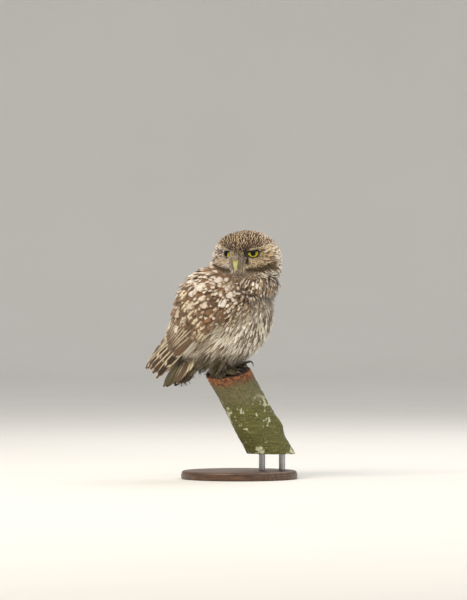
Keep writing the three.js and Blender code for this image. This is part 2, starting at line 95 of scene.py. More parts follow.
def hump(x: Array, at: float = 0.0, width: float = 1.0) -> Array:
    """A smooth bump, 1 at its place and almost nothing beyond twice its width."""
    return np.exp(-np.square((x - at) / width))


def ease(x: Array, low: float, high: float) -> Array:
    """Goes smoothly from 0 at low to 1 at high."""
    t = np.clip((np.asarray(x, float) - low) / (high - low), 0, 1)
    return t * t * (3 - 2 * t)


def fall(x: Array, low: float, high: float) -> Array:
    """Goes smoothly from 1 at low to 0 at high."""
    return 1 - ease(x, low, high)


def blend(a: Array, b: Array, share: Array) -> Array:
    """Mixes rows of a and b by a share for each row."""
    share = np.asarray(share, float)[..., None]
    return a * (1 - share) + b * share


def circle(count: int) -> Array:
    """Angles once round."""
    return np.linspace(0, 2 * math.pi, count, endpoint=False)


def rounded(t: Array, rise: float) -> Array:
    """A thickness, almost nothing at 0 and 1 and full between, sooner for a larger rise."""
    return np.sqrt(np.clip(rise * t * (1 - t), 0.001, 1))


def flattened(v: Array, out: Array) -> Array:
    """Vectors laid into the surface that out stands on, and made one long."""
    return unit(v - out * np.sum(v * out, axis=1, keepdims=True))


class Profile:
    """A smooth function through pairs given in order of their first number."""

    def __init__(self, *pairs: tuple[float, float]) -> None:
        """Keeps the pairs and works out the slope at each."""
        self.x = np.array([p[0] for p in pairs], float)
        self.y = np.array([p[1] for p in pairs], float)
        i = np.arange(len(pairs))
        low, high = np.maximum(i - 1, 0), np.minimum(i + 1, len(pairs) - 1)
        self.slope = (self.y[high] - self.y[low]) / (self.x[high] - self.x[low])

    def __call__(self, x: Array) -> Array:
        """The function's value, held level past both ends."""
        x = np.clip(np.asarray(x, float), self.x[0], self.x[-1])
        i = np.clip(np.searchsorted(self.x, x, side="right") - 1, 0, len(self.x) - 2)
        span = self.x[i + 1] - self.x[i]
        t = (x - self.x[i]) / span
        ends = self.y[i] * (2 * t**3 - 3 * t**2 + 1) + self.y[i + 1] * (3 * t**2 - 2 * t**3)
        bend = self.slope[i] * (t**3 - 2 * t**2 + t) + self.slope[i + 1] * (t**3 - t**2)
        return ends + span * bend


def through(points: Sequence[Sequence[float]], t: Array) -> Array:
    """Places along a smooth curve through points.

    Args:
        points: the points, (K, 3) or (N, K, 3).
        t: shares of the way, each from 0 to 1.

    Returns:
        The places, (T, 3) or (N, T, 3).
    """
    p = np.asarray(points, float)
    first, last = 2 * p[..., :1, :] - p[..., 1:2, :], 2 * p[..., -1:, :] - p[..., -2:-1, :]
    p = np.concatenate([first, p, last], axis=-2)
    count = p.shape[-2] - 3
    x = np.clip(np.asarray(t, float), 0, 1) * count
    i = np.minimum(x.astype(int), count - 1)
    f = (x - i)[:, None]
    a, b, c, d = (p[..., i + k, :] for k in range(4))
    return 0.5 * (2 * b + (c - a) * f + (2 * a - 5 * b + 4 * c - d) * f**2
                  + (3 * b - a - 3 * c + d) * f**3)


# ---- the bird's forms ---------------------------------------------------------------------------


@dataclass(frozen=True)
class Body:
    """The fluffed body and the outer form of the closed wings."""

    centre: tuple[float, float, float] = (-7.5, 0.0, 66.3)
    radius: float = 56.5
    slope: float = math.radians(37)
    side_share: float = 0.83
    joins: float = 24.0
    rear: float = 62.0

    back_line: ClassVar[Profile] = Profile(
        (24, 51.2), (40, 39.5), (52, 29.7), (64, 23.5), (76, 19.5), (88, 16.5), (98, 13), (106, 9))
    side_line: ClassVar[Profile] = Profile(
        (24, 42.5), (40, 34.5), (52, 28), (64, 22.5), (76, 18.5), (88, 15.5), (106, 11))
    belly_line: ClassVar[Profile] = Profile(
        (24, 51.2), (33, 47), (46, 36.5), (53, 27), (58, 17), (61, 7), (62, 0))
    wing_low: ClassVar[Profile] = Profile((-47, 92), (-20, 100), (0, 103), (30, 106), (62, 110))

    @property
    def aft(self) -> Array:
        """The way down the slope of the back."""
        return np.array([-math.cos(self.slope), 0, -math.sin(self.slope)])

    @property
    def dorsal(self) -> Array:
        """The way out of the back."""
        return np.array([-math.sin(self.slope), 0, math.cos(self.slope)])

    def reach_back(self, s: Array) -> Array:
        """How far the back stands from the axis at distance s."""
        ball = np.sqrt(np.maximum(self.radius**2 - np.square(s), 0))
        return np.where(s < self.joins, ball, self.back_line(s))

    def reach_side(self, s: Array) -> Array:
        """How far the sides stand from the axis at distance s."""
        ball = self.side_share * np.sqrt(np.maximum(self.radius**2 - np.square(s), 0))
        return np.where(s < self.joins, ball, self.side_line(s))

    def around(self, s: Array, turn: Array, up: Array, out: Array) -> Array:
        """A place at distance s and angle turn round the axis, on an oval of the given size."""
        s, turn, up, out = np.broadcast_arrays(s, turn, up, out)
        place = np.array(self.centre) + s[..., None] * self.aft
        place = place + (up * np.cos(turn))[..., None] * self.dorsal
        return place + (out * np.sin(turn))[..., None] * LEFT

    def on_wing(self, s: Array, turn: Array, lift: Array, side: int) -> Array:
        """A place on a wing's outer form, turn in degrees, raised by lift."""
        place = self.around(s, np.radians(turn), self.reach_back(s) + lift,
                            self.reach_side(s) + lift)
        return place * np.array([1.0, side, 1.0])

    def polar(self, p: Array) -> tuple[Array, Array]:
        """Distance along the axis and turn from the back, in degrees from 0 to 180, of places."""
        q = p - np.array(self.centre)
        s = q @ self.aft
        turn = np.degrees(np.arctan2(np.abs(q[..., 1]) / self.side_share, q @ self.dorsal))
        return s, turn


@dataclass(frozen=True)
class Head:
    """The head, turned over the right shoulder; its own frame has the face along +X."""

    centre: tuple[float, float, float] = (21.3, 0.0, 125.0)
    depth: float = 33.0
    width: float = 39.0
    height: float = 33.4
    turn: float = math.radians(-92)
    nod: float = math.radians(5)
    hollow: tuple[float, float, float] = (20.5, 14.5, 8.2)

    @property
    def spin(self) -> Array:
        """The rotation from the head's own frame to the bird's."""
        both = Matrix.Rotation(self.turn, 3, "Z") @ Matrix.Rotation(self.nod, 3, "Y")
        return np.array(both)

    def placed(self, p: Array) -> Array:
        """Places in the head's own frame as places on the bird."""
        return p @ self.spin.T + np.array(self.centre)

    def own(self, p: Array) -> Array:
        """Places on the bird as places in the head's own frame."""
        return (p - np.array(self.centre)) @ self.spin

    def reach(self, way: Array) -> Array:
        """How far the head's surface lies from its centre in each direction."""
        half = way.copy()
        half[..., 1] = np.abs(way[..., 1])
        eye = unit(np.array(self.hollow))
        off = np.arccos(np.clip(half @ eye, -1, 1))
        facing = (way[..., 0] > 0).astype(float)
        rim = np.where(way[..., 0] > -0.2, 1.6 * hump(off, 0.74, 0.16), 0)
        brow = 2.6 * facing * hump(way[..., 2], 0.52, 0.1) * hump(half[..., 1], 0.3, 0.32)
        nose = 2.5 * facing * hump(way[..., 1], 0, 0.16) * hump(way[..., 2], 0.22, 0.25)
        oval = 1 / np.sqrt((way[..., 0] / self.depth) ** 2 + (way[..., 1] / self.width) ** 2
                           + (way[..., 2] / self.height) ** 2)
        return oval - 5.6 * np.exp(-(off / 0.27) ** 4) + rim + brow + nose


@dataclass(frozen=True)
class EyePlace:
    """Where the eyes sit in the head and the window that the lids leave."""

    radius: float = 7.6
    forward: float = 17.4
    out: float = 13.2
    up: float = 9.2
    gaze: float = math.radians(24)
    tilt: float = math.radians(-4)
    window: float = 6.2
    upper: float = 2.6
    lower: float = -4.6
    slant: float = math.radians(5)
    outer: tuple[float, float] = (6.2, 0.8)
    inner: tuple[float, float] = (6.2, 5.0)

    def centre(self, side: int) -> Array:
        """An eye's middle in the head's frame."""
        return np.array([self.forward, side * self.out, self.up])

    def spin(self, side: int) -> Array:
        """The rotation from an eye's own frame, gaze along +X, to the head's."""
        both = Matrix.Rotation(side * self.gaze, 3, "Z") @ Matrix.Rotation(-self.tilt, 3, "Y")
        return np.array(both)

    def ends(self, side: int) -> tuple[float, float]:
        """How far the window reaches towards the bill, as a negative number, and away from it."""
        which = 0 if side > 0 else 1
        return -self.inner[which], self.outer[which]

    def openness(self, p: Array, side: int) -> Array:
        """How far places in the head's frame lie inside the window, in millimetres."""
        q = (p - self.centre(side)) @ self.spin(side)
        y, z = q[..., 1], q[..., 2]
        inner, outer = self.ends(side)
        tall = np.where(z > 0, self.window, -self.lower)
        oval = np.hypot((side * y - (outer + inner) / 2) / (outer - inner) * 2, z / tall)
        top = self.upper + side * y * math.tan(self.slant)
        inside = np.minimum((1 - oval) * (outer - inner) / 2, (top - z) * math.cos(self.slant))
        return np.where(q[..., 0] > 0, inside, -9.0)


BODY, HEAD, EYES = Body(), Head(), EyePlace()
NECK_CENTRE, NECK_SIZE = np.array([27.0, 0, 103.0]), np.array([31.0, 32.0, 27.0])
SAWN_NORMAL, SAWN_RISE = unit(np.array([-0.09, -0.3, 1.0])), 1.6
VIEW_TURN = math.radians(20)
PICTURE_RIGHT = np.array([math.cos(VIEW_TURN), math.sin(VIEW_TURN), 0.0])
PICTURE_NEAR = np.array([math.sin(VIEW_TURN), -math.cos(VIEW_TURN), 0.0])


def sawn_height(x: Array, y: Array) -> Array:
    """The height of the sawn face above a place."""
    return SAWN_RISE - (SAWN_NORMAL[0] * x + SAWN_NORMAL[1] * y) / SAWN_NORMAL[2]


# ---- meshes -------------------------------------------------------------------------------------


def linked(name: str, data: bpy.types.ID) -> Object:
    """A new object of the given data, linked to the scene."""
    made = bpy.data.objects.new(name, data)
    bpy.context.scene.collection.objects.link(made)
    return made


def mesh_object(name: str, points: Array, faces: Iterable[Sequence[int]]) -> Object:
    """A new object in the scene.

    Args:
        name: the piece's name.
        points: places in millimetres, (N, 3).
        faces: corner numbers of each face.

    Returns:
        The object, shaded smooth.
    """
    mesh = bpy.data.meshes.new(name)
    mesh.from_pydata(settle(points).tolist(), [], [list(map(int, f)) for f in faces])
    mesh.validate()
    mesh.polygons.foreach_set("use_smooth", [True] * len(mesh.polygons))
    return linked(name, mesh)


def ring_faces(rows: int, columns: int) -> list[tuple[int, ...]]:
    """The faces between rows of points, each row a closed ring."""
    return [(r * columns + c, r * columns + (c + 1) % columns,
             (r + 1) * columns + (c + 1) % columns, (r + 1) * columns + c)
            for r in range(rows - 1) for c in range(columns)]


def barrel_faces(rows: int, columns: int) -> list[tuple[int, ...]]:
    """The faces between rings of points and over both ends."""
    return [*ring_faces(rows, columns), tuple(range(columns))[::-1],
            tuple(range((rows - 1) * columns, rows * columns))]


def tube(curve: Array, sizes: Array, up: Array, around: int = 24) -> tuple[Array, list]:
    """A round body along a curve, closed at both ends.

    Args:
        curve: points of its middle line, (T, 3).
        sizes: its half-width and half-height at each, (T, 2).
        up: the way that its height faces.
        around: how many points each ring has.

    Returns:
        Its points and its faces.
    """
    forward = unit(np.gradient(curve, axis=0))
    side = unit(np.cross(forward, up))
    lift = np.cross(side, forward)
    turn = circle(around)
    rings = (curve[:, None] + side[:, None] * (sizes[:, :1] * np.cos(turn))[..., None]
             + lift[:, None] * (sizes[:, 1:] * np.sin(turn))[..., None])
    return rings.reshape(-1, 3), barrel_faces(len(curve), around)


def joined(parts: Sequence[tuple[Array, list]]) -> tuple[Array, list]:
    """Several bodies' points and faces as one list of each."""
    points, faces, start = [], [], 0
    for some, their in parts:
        points.append(some)
        faces += [tuple(i + start for i in f) for f in their]
        start += len(some)
    return np.concatenate(points), faces


def attribute(made: Object, name: str, values: Array) -> None:
    """Keeps a number or a colour for every point of a piece."""
    kind = "FLOAT" if values.ndim == 1 else "FLOAT_COLOR"
    kept = made.data.attributes.new(name, kind, "POINT")
    if values.ndim == 1:
        kept.data.foreach_set("value", values.astype(np.float32))
    else:
        full = np.ones((len(values), 4), np.float32)
        full[:, :values.shape[1]] = values
        kept.data.foreach_set("color", full.ravel())


def rows_of(items: bpy.types.bpy_prop_collection, key: str, kind: type = np.float32) -> Array:
    """Three numbers kept for each of a mesh's items, (N, 3)."""
    flat = np.empty(len(items) * 3, kind)
    items.foreach_get(key, flat)
    return flat.reshape(-1, 3)


def uv_map(made: Object, name: str, places: Array) -> None:
    """Gives a piece a UV map from a place for each of its points."""
    layer = made.data.uv_layers.new(name=name)
    corner = np.empty(len(made.data.loops), np.int32)
    made.data.loops.foreach_get("vertex_index", corner)
    layer.data.foreach_set("uv", places[corner].astype(np.float32).ravel())


def bumpy(points: Array, scale: float, depth: int = 3) -> Array:
    """Smooth noise about zero at places in millimetres, its features about scale wide."""
    return np.array([noise.fractal(Vector(p) / scale, 1.0, 2.0, depth) for p in points])


def ready(piece: Object, finish: Material, slot: str, *nodes: str) -> None:
    """Dresses a piece, lets it ride on the still body and hides the solids that it stands for.

    Args:
        piece: the piece.
        finish: its material.
        slot: not used.
        nodes: the solids that it stands for.
    """
    piece.data.materials.append(finish)
    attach(piece, "root")
    if nodes:
        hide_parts(*nodes)
    log.info("%s: %d faces", piece.name, len(piece.data.polygons))


# ---- finishes -----------------------------------------------------------------------------------


class Socket:
    """A node's output that can be used in sums."""

    def __init__(self, shader: "Shader", out: bpy.types.NodeSocket) -> None:
        """Wraps an output of one of the shader's nodes."""
        self.shader, self.out = shader, out

    def _math(self, kind: str, a: Value, b: Value = 0.0) -> "Socket":
        """Adds a Math node."""
        return self.shader.node("ShaderNodeMath", {"operation": kind}, {0: a, 1: b, 2: 0.0})

    def __add__(self, other: Value) -> "Socket":
        """The sum."""
        return self._math("ADD", self, other)

    __radd__ = __add__

    def __sub__(self, other: Value) -> "Socket":
        """The difference."""
        return self._math("SUBTRACT", self, other)

    def __rsub__(self, other: Value) -> "Socket":
        """The difference the other way."""
        return self._math("SUBTRACT", other, self)

    def __mul__(self, other: Value) -> "Socket":
        """The product."""
        return self._math("MULTIPLY", self, other)

    __rmul__ = __mul__

    def __pow__(self, other: Value) -> "Socket":
        """The power."""
        return self._math("POWER", self, other)

    def __abs__(self) -> "Socket":
        """The size without its sign."""
        return self._math("ABSOLUTE", self)

    def most(self, other: Value) -> "Socket":
        """The larger of two values."""
        return self._math("MAXIMUM", self, other)

    def wave(self) -> "Socket":
        """The sine."""
        return self._math("SINE", self)

    def mask(self, low: float, high: float) -> "Socket":
        """0 below low, 1 above high and smooth between."""
        return self.shader.node("ShaderNodeMapRange", {"interpolation_type": "SMOOTHSTEP"},
                                {"Value": self, "From Min": low, "From Max": high})


class Shader:
    """One material under construction."""

    def __init__(self, name: str) -> None:
        """Starts an empty material with its principled shader."""
        self.material = bpy.data.materials.new(name)
        self.material.use_nodes = True
        self.tree = self.material.node_tree
        self.tree.nodes.clear()
        self.surface = self.tree.nodes.new("ShaderNodeBsdfPrincipled")
        output = self.tree.nodes.new("ShaderNodeOutputMaterial")
        self.tree.links.new(self.surface.outputs[0], output.inputs[0])

    def feed(self, target: bpy.types.NodeSocket, value: object) -> None:
        """Links a socket, or sets it to a number, a vector or a colour given by its hex code."""
        if isinstance(value, Socket):
            self.tree.links.new(value.out, target)
        elif isinstance(value, (int, float)):
            target.default_value = value
        else:
            given = tuple(map(float, tint(value) if isinstance(value, str) else value))
            target.default_value = (given + (1.0,))[:len(target.default_value)]

    def node(self, kind: str, settings: dict | None = None, inputs: dict | None = None,
             out: str | int = 0) -> Socket:
        """Adds a node.

        Args:
            kind: the node's type.
            settings: its own settings.
            inputs: values or links of its sockets, by name or number.
            out: the output that is wanted.

        Returns:
            That output.
        """
        made = self.tree.nodes.new(kind)
        for key, value in (settings or {}).items():
            setattr(made, key, value)
        for key, value in (inputs or {}).items():
            self.feed(made.inputs[key], value)
        return Socket(self, made.outputs[out])

    def mix(self, share: Value, a: object, b: object, kind: str = "MIX") -> Socket:
        """Mixes two colours."""
        made = self.tree.nodes.new("ShaderNodeMix")
        made.data_type, made.blend_type = "RGBA", kind
        self.feed(made.inputs[0], share)
        self.feed(made.inputs[6], a)
        self.feed(made.inputs[7], b)
        return Socket(self, made.outputs[2])

    def noise(self, scale: float, detail: float = 3.0, where: Socket | None = None,
              rough: float = 0.55) -> Socket:
        """Noise of so many features a metre."""
        return self.node("ShaderNodeTexNoise", {}, {
            "Vector": where or self.place(), "Scale": scale, "Detail": detail,
            "Roughness": rough})

    def place(self) -> Socket:
        """The place in the object's own frame, in metres."""
        return self.node("ShaderNodeTexCoord", out="Object")

    def stretched(self, size: Sequence[float], turn: Sequence[float] = (0, 0, 0)) -> Socket:
        """The place scaled by size after a turn, for grain."""
        return self.node("ShaderNodeMapping", {"vector_type": "POINT"}, {
            "Vector": self.place(), "Rotation": turn, "Scale": size})

    def vectors(self, a: object, b: object, kind: str = "ADD") -> Socket:
        """Joins two vectors."""
        return self.node("ShaderNodeVectorMath", {"operation": kind}, {0: a, 1: b})

    def kept(self, name: str, out: str = "Fac") -> Socket:
        """A number or colour kept for every point."""
        return self.node("ShaderNodeAttribute", {"attribute_name": name}, out=out)

    def bump(self, height: Socket, strength: float, distance: float) -> Socket:
        """A normal from a height."""
        return self.node("ShaderNodeBump", {}, {
            "Height": height, "Strength": strength, "Distance": distance})

    def finish(self, **inputs: object) -> Material:
        """Feeds the principled shader; underscores in names stand for spaces."""
        for key, value in inputs.items():
            self.feed(self.surface.inputs[key.replace("_", " ")], value)
        return self.material


@dataclass(frozen=True)
class Plumage:
    """Feathers: a ground colour, and a mark whose form comes from the kept style."""

    name: str
    rough: float = 0.75
    barbs: float = 95.0
    relief: float = 0.35

    def material(self) -> Material:
        """The material."""
        sh = Shader(self.name)
        place = sh.node("ShaderNodeUVMap", {"uv_map": "vane"})
        across = sh.node("ShaderNodeSeparateXYZ", {}, {0: place}, "X") * 2 - 1
        along = sh.node("ShaderNodeSeparateXYZ", {}, {0: place}, "Y")
        off = abs(across)
        style = sh.kept("style", "Color")
        spot, streak, bars = (sh.node("ShaderNodeSeparateColor", {}, {0: style}, part)
                              for part in ("Red", "Green", "Blue"))
        edge = sh.kept("style", "Alpha")
        wobble = sh.noise(700, 2.0) - 0.5
        ragged = wobble * 0.7 + (sh.noise(320, 1.0) - 0.5) * 0.9
        ring = (((along - 0.78) * 3.4) ** 2 + off * off * 1.5) ** 0.5 + ragged
        dot = (spot * 1.25 - ring).mask(-0.25, 0.22) * spot.mask(0.05, 0.12)
        line = (streak * 0.6 - off + wobble * 0.4).mask(-0.14, 0.14) * along.mask(0.25, 0.55)
        line = line * (1 - (along + wobble * 0.2).mask(0.86, 0.95) * edge.mask(0.85, 0.95))
        line = line * streak.mask(0.1, 0.16)
        band = ((along * 27 + off * 2.0).wave() * 0.5 + bars * 1.3 - 0.95).mask(-0.1, 0.25)
        band = band * bars.mask(0.02, 0.1) * off.mask(0.12, 0.3)
        fringe = (off + edge * 0.75 - 1 + wobble * 0.3).mask(-0.2, 0.16) * edge.mask(0.02, 0.1)
        fringe = fringe * (1 - edge.mask(0.85, 0.9))
        mark = dot.most(line).most(band).most(fringe)
        colour = sh.mix(mark, sh.kept("ground", "Color"), sh.kept("mark", "Color"))
        fine = ((along - off * 0.3) * self.barbs * 6.28).wave() * 0.5 + 0.5
        patch = sh.noise(230, 3.0)
        grain = sh.noise(1.0, 2.0, sh.vectors(sh.vectors(place, (11.0, 2.2, 0.0), "MULTIPLY"),
                                              sh.vectors(sh.place(), (350.0,) * 3, "MULTIPLY")))
        shade = 0.52 + fine * 0.12 + patch * 0.36 + grain * 0.5
        colour = sh.mix(1.0, colour, sh.node("ShaderNodeCombineColor", {}, {
            0: shade, 1: shade, 2: shade}), "MULTIPLY")
        height = fine * 0.6 + off.mask(0.0, 0.1) * -0.4
        return sh.finish(Base_Color=colour, Roughness=self.rough + patch * 0.15 - 0.07,
                         Specular_IOR_Level=0.25, Sheen_Weight=0.25, Sheen_Roughness=0.5,
                         Normal=sh.bump(height, self.relief, 0.0002))


@dataclass(frozen=True)
class SkinFinish:
    """The down under the feathers, in the coat's own markings."""

    name: str = "down"

    def material(self) -> Material:
        """The material."""
        sh = Shader(self.name)
        tuft = sh.noise(900, 4.0)
        colour = sh.mix(tuft.mask(0.3, 0.7), sh.kept("shade", "Color"), sh.kept("ground", "Color"))
        return sh.finish(Base_Color=colour, Roughness=0.9, Sheen_Weight=0.2,
                         Normal=sh.bump(tuft, 0.6, 0.0006))


@dataclass(frozen=True)
class HornFinish:
    """Bill and claws: smooth horn, darker or paler towards the tip, with faint growth lines."""

    name: str
    start: str
    root: str
    tip: str
    rough: float = 0.32
    coat: float = 0.35

    def material(self) -> Material:
        """The material."""
        sh = Shader(self.name)
        along = sh.kept("along")
        cloud = sh.noise(320, 4.0)
        colour = sh.mix((along + cloud * 0.3 - 0.15).mask(0.25, 0.95), self.root, self.tip)
        lines = (along * 170 + cloud * 6).wave()
        colour = sh.mix(cloud.mask(0.45, 0.8) * 0.3, colour, tint(self.tip) * 0.7)
        colour = sh.mix((along + cloud * 0.08).mask(0.3, 0.4), self.start, colour)
        return sh.finish(Base_Color=colour, Roughness=self.rough + cloud * 0.15,
                         Coat_Weight=self.coat, Coat_Roughness=0.2,
                         Normal=sh.bump(lines * 0.3 + cloud, 0.15, 0.0002))


@dataclass(frozen=True)
class EyeFinish:
    """A wet yellow eye: pupil, iris and dark rim by the angle from the gaze, and painted brow shade
    over the iris's top.
    """

    name: str = "eye_wet"

    def material(self) -> Material:
        """The material."""
        sh = Shader(self.name)
        away = sh.kept("away")
        ray = sh.noise(1600, 3.0) - 0.5
        iris = sh.mix((away + ray * 0.08).mask(0.4, 0.78), "a79f1b", "dcd336")
        iris = sh.mix(ray.mask(0.05, 0.3) * 0.35, iris, "8a8a10")
        # Painted shade from the brow: the top of the iris darker.
        iris = sh.mix(sh.kept("high").mask(-0.25, 0.3) * 0.75, iris, "5d5c10")
        colour = sh.mix(away.mask(0.385, 0.42), "080605", iris)
        colour = sh.mix(away.mask(0.86, 0.93), colour, "14100c")
        return sh.finish(Base_Color=colour, Roughness=0.2 + ray * 0.1, Coat_Weight=0.25,
                         Coat_Roughness=0.01, Specular_IOR_Level=0.05)


@dataclass(frozen=True)
class FleshFinish:
    """Bare skin such as the cere, lid rims and toes, with small scales."""

    name: str
    base: str
    other: str
    scale: float = 700.0
    rough: float = 0.5

    def material(self) -> Material:
        """The material."""
        sh = Shader(self.name)
        cells = sh.node("ShaderNodeTexVoronoi", {"feature": "F1"},
                        {"Vector": sh.place(), "Scale": self.scale})
        cloud = sh.noise(self.scale * 0.4, 3.0)
        colour = sh.mix(cloud.mask(0.35, 0.7), self.base, self.other)
        colour = sh.mix(cells.mask(0.5, 1.0) * 0.5, colour, tint(self.other) * 0.5)
        return sh.finish(Base_Color=colour, Roughness=self.rough + cloud * 0.2,
                         Specular_IOR_Level=0.15, Normal=sh.bump(1 - cells, 0.5, 0.0003))


@dataclass(frozen=True)
class BarkFinish:
    """The branch: peeled red rim, smooth grey bark, green algae and pale lichen further down."""

    name: str = "bark"

    def material(self) -> Material:
        """The material."""
        sh = Shader(self.name)
        down, rim = sh.kept("down"), sh.kept("cut")
        broad, fine = sh.noise(45, 4.0), sh.noise(420, 5.0)
        wrinkle = sh.noise(1.0, 4.0, sh.stretched((90, 90, 700), (0.0, 0.46, 0.0)))
        grey = sh.mix(fine.mask(0.35, 0.7), "565131", "746d4b")
        grey = sh.mix(broad.mask(0.5, 0.62) * 0.5, grey, "4f4933")
        green = sh.mix(wrinkle.mask(0.3, 0.7), "4a491f", "66632f")
        green = sh.mix(fine.mask(0.55, 0.75), green, "8a8760")
        colour = sh.mix((down + broad * 26 - 13).mask(27, 43), grey, green)
        lichen = (sh.noise(150, 5.0) + sh.noise(30, 2.0) * 0.7).mask(0.93, 1.0)
        colour = sh.mix(lichen * down.mask(22, 40), colour, "bdbf9f")
        peel = down + broad * 16 - 8 + sh.noise(120, 3.0) * 8 - 4
        rust = sh.mix(sh.noise(240, 4.0).mask(0.35, 0.65), "4f2c1a", "8d5a38")
        rust = sh.mix((sh.noise(420, 2.0) - down * 0.012).mask(0.56, 0.62), rust, "c67a35")
        colour = sh.mix(1 - peel.mask(4, 14), colour, rust)
        ringed = (sh.kept("ring") * 0.9 + broad * 3).wave() * 0.5 + 0.5
        wood = sh.mix(ringed, "3a2519", "5d4030")
        wood = sh.mix(fine.mask(0.5, 0.75), wood, "241812")
        colour = sh.mix(rim.mask(0.4, 0.6), colour, wood)
        height = fine * 0.5 + wrinkle * 0.4 * (1 - rim)
        return sh.finish(Base_Color=colour, Roughness=0.72 + fine * 0.2,
                         Normal=sh.bump(height, 0.7, 0.0009))


@dataclass(frozen=True)
class WoodFinish:
    """The dark stained wood of the base, with long grain and a thin polish."""

    name: str = "base_wood"

    def material(self) -> Material:
        """The material."""
        sh = Shader(self.name)
        grain = sh.noise(1.0, 5.0, sh.stretched((22, 260, 260)))
        pores = sh.noise(1.0, 3.0, sh.stretched((160, 1900, 1900)))
        colour = sh.mix(grain.mask(0.3, 0.7), "3b2618", "6a4a31")
        colour = sh.mix(pores.mask(0.56, 0.7), colour, "231509")
        return sh.finish(Base_Color=colour, Roughness=0.38 + grain * 0.2, Coat_Weight=0.25,
                         Coat_Roughness=0.25, Normal=sh.bump(pores, 0.2, 0.0003))


@dataclass(frozen=True)
class SteelFinish:
    """Brushed steel of the rods."""

    name: str = "steel"

    def material(self) -> Material:
        """The material."""
        sh = Shader(self.name)
        brushed = sh.noise(1.0, 4.0, sh.stretched((2600, 2600, 60)))
        cloud = sh.noise(180, 3.0)
        colour = sh.mix(cloud, "8d8f90", "b3b4b4")
        return sh.finish(Base_Color=colour, Metallic=1.0, Roughness=0.24 + brushed * 0.18,
                         Normal=sh.bump(brushed, 0.12, 0.0002))


@dataclass(frozen=True)
class StudioFinish:
    """The pale paper of the floor and backdrop."""

    name: str = "studio"

    def material(self) -> Material:
        """The material."""
        sh = Shader(self.name)
        soft = sh.noise(3.0, 2.0)
        return sh.finish(Base_Color=sh.mix(soft, "dcdad4", "e2e0db"), Roughness=0.9)


# ---- the skin -----------------------------------------------------------------------------------


class Ground:
    """The skin's surface, which feathers stand on."""

    def __init__(self, made: Object) -> None:
        """Reads the skin's mesh."""
        mesh = made.data
        self.points = millimetres(rows_of(mesh.vertices, "co"))
        mesh.calc_loop_triangles()
        self.faces = rows_of(mesh.loop_triangles, "vertices", np.int32)
        self.outward = unit(rows_of(mesh.vertices, "normal")[self.faces].mean(axis=1))
        self.tree = BVHTree.FromPolygons(self.points.tolist(), self.faces.tolist())

    def nearest(self, places: Array) -> tuple[Array, Array]:
        """The nearest places on the skin, and the way out of it there."""
        flat = places.reshape(-1, 3)
        at, which = np.empty_like(flat), np.empty(len(flat), int)
        for i, p in enumerate(flat):
            spot, _, index, _ = self.tree.find_nearest(p)
            at[i], which[i] = spot, index
        return at.reshape(places.shape), self.outward[which].reshape(places.shape)

    def seen(self, across: float, height: float) -> Array | None:
        """The place that the picture shows at millimetres right of and above the sawn face."""
        start = PICTURE_RIGHT * across + PICTURE_NEAR * 200 + UP * height
        spot, _, _, _ = self.tree.ray_cast(Vector(start), Vector(-PICTURE_NEAR))
        return None if spot is None else np.array(spot)

    def scattered(self, count: int, rng: Draw) -> tuple[Array, Array]:
        """Random places all over the skin, and the way out there."""
        a, b, c = (self.points[self.faces[:, k]] for k in range(3))
        area = np.linalg.norm(np.cross(b - a, c - a), axis=1)
        pick = rng.choice(len(area), count, p=area / area.sum())
        u, v = rng.random(count), rng.random(count)
        over = u + v > 1
        u, v = np.where(over, 1 - u, u)[:, None], np.where(over, 1 - v, v)[:, None]
        return a[pick] + (b - a)[pick] * u + (c - a)[pick] * v, self.outward[pick]


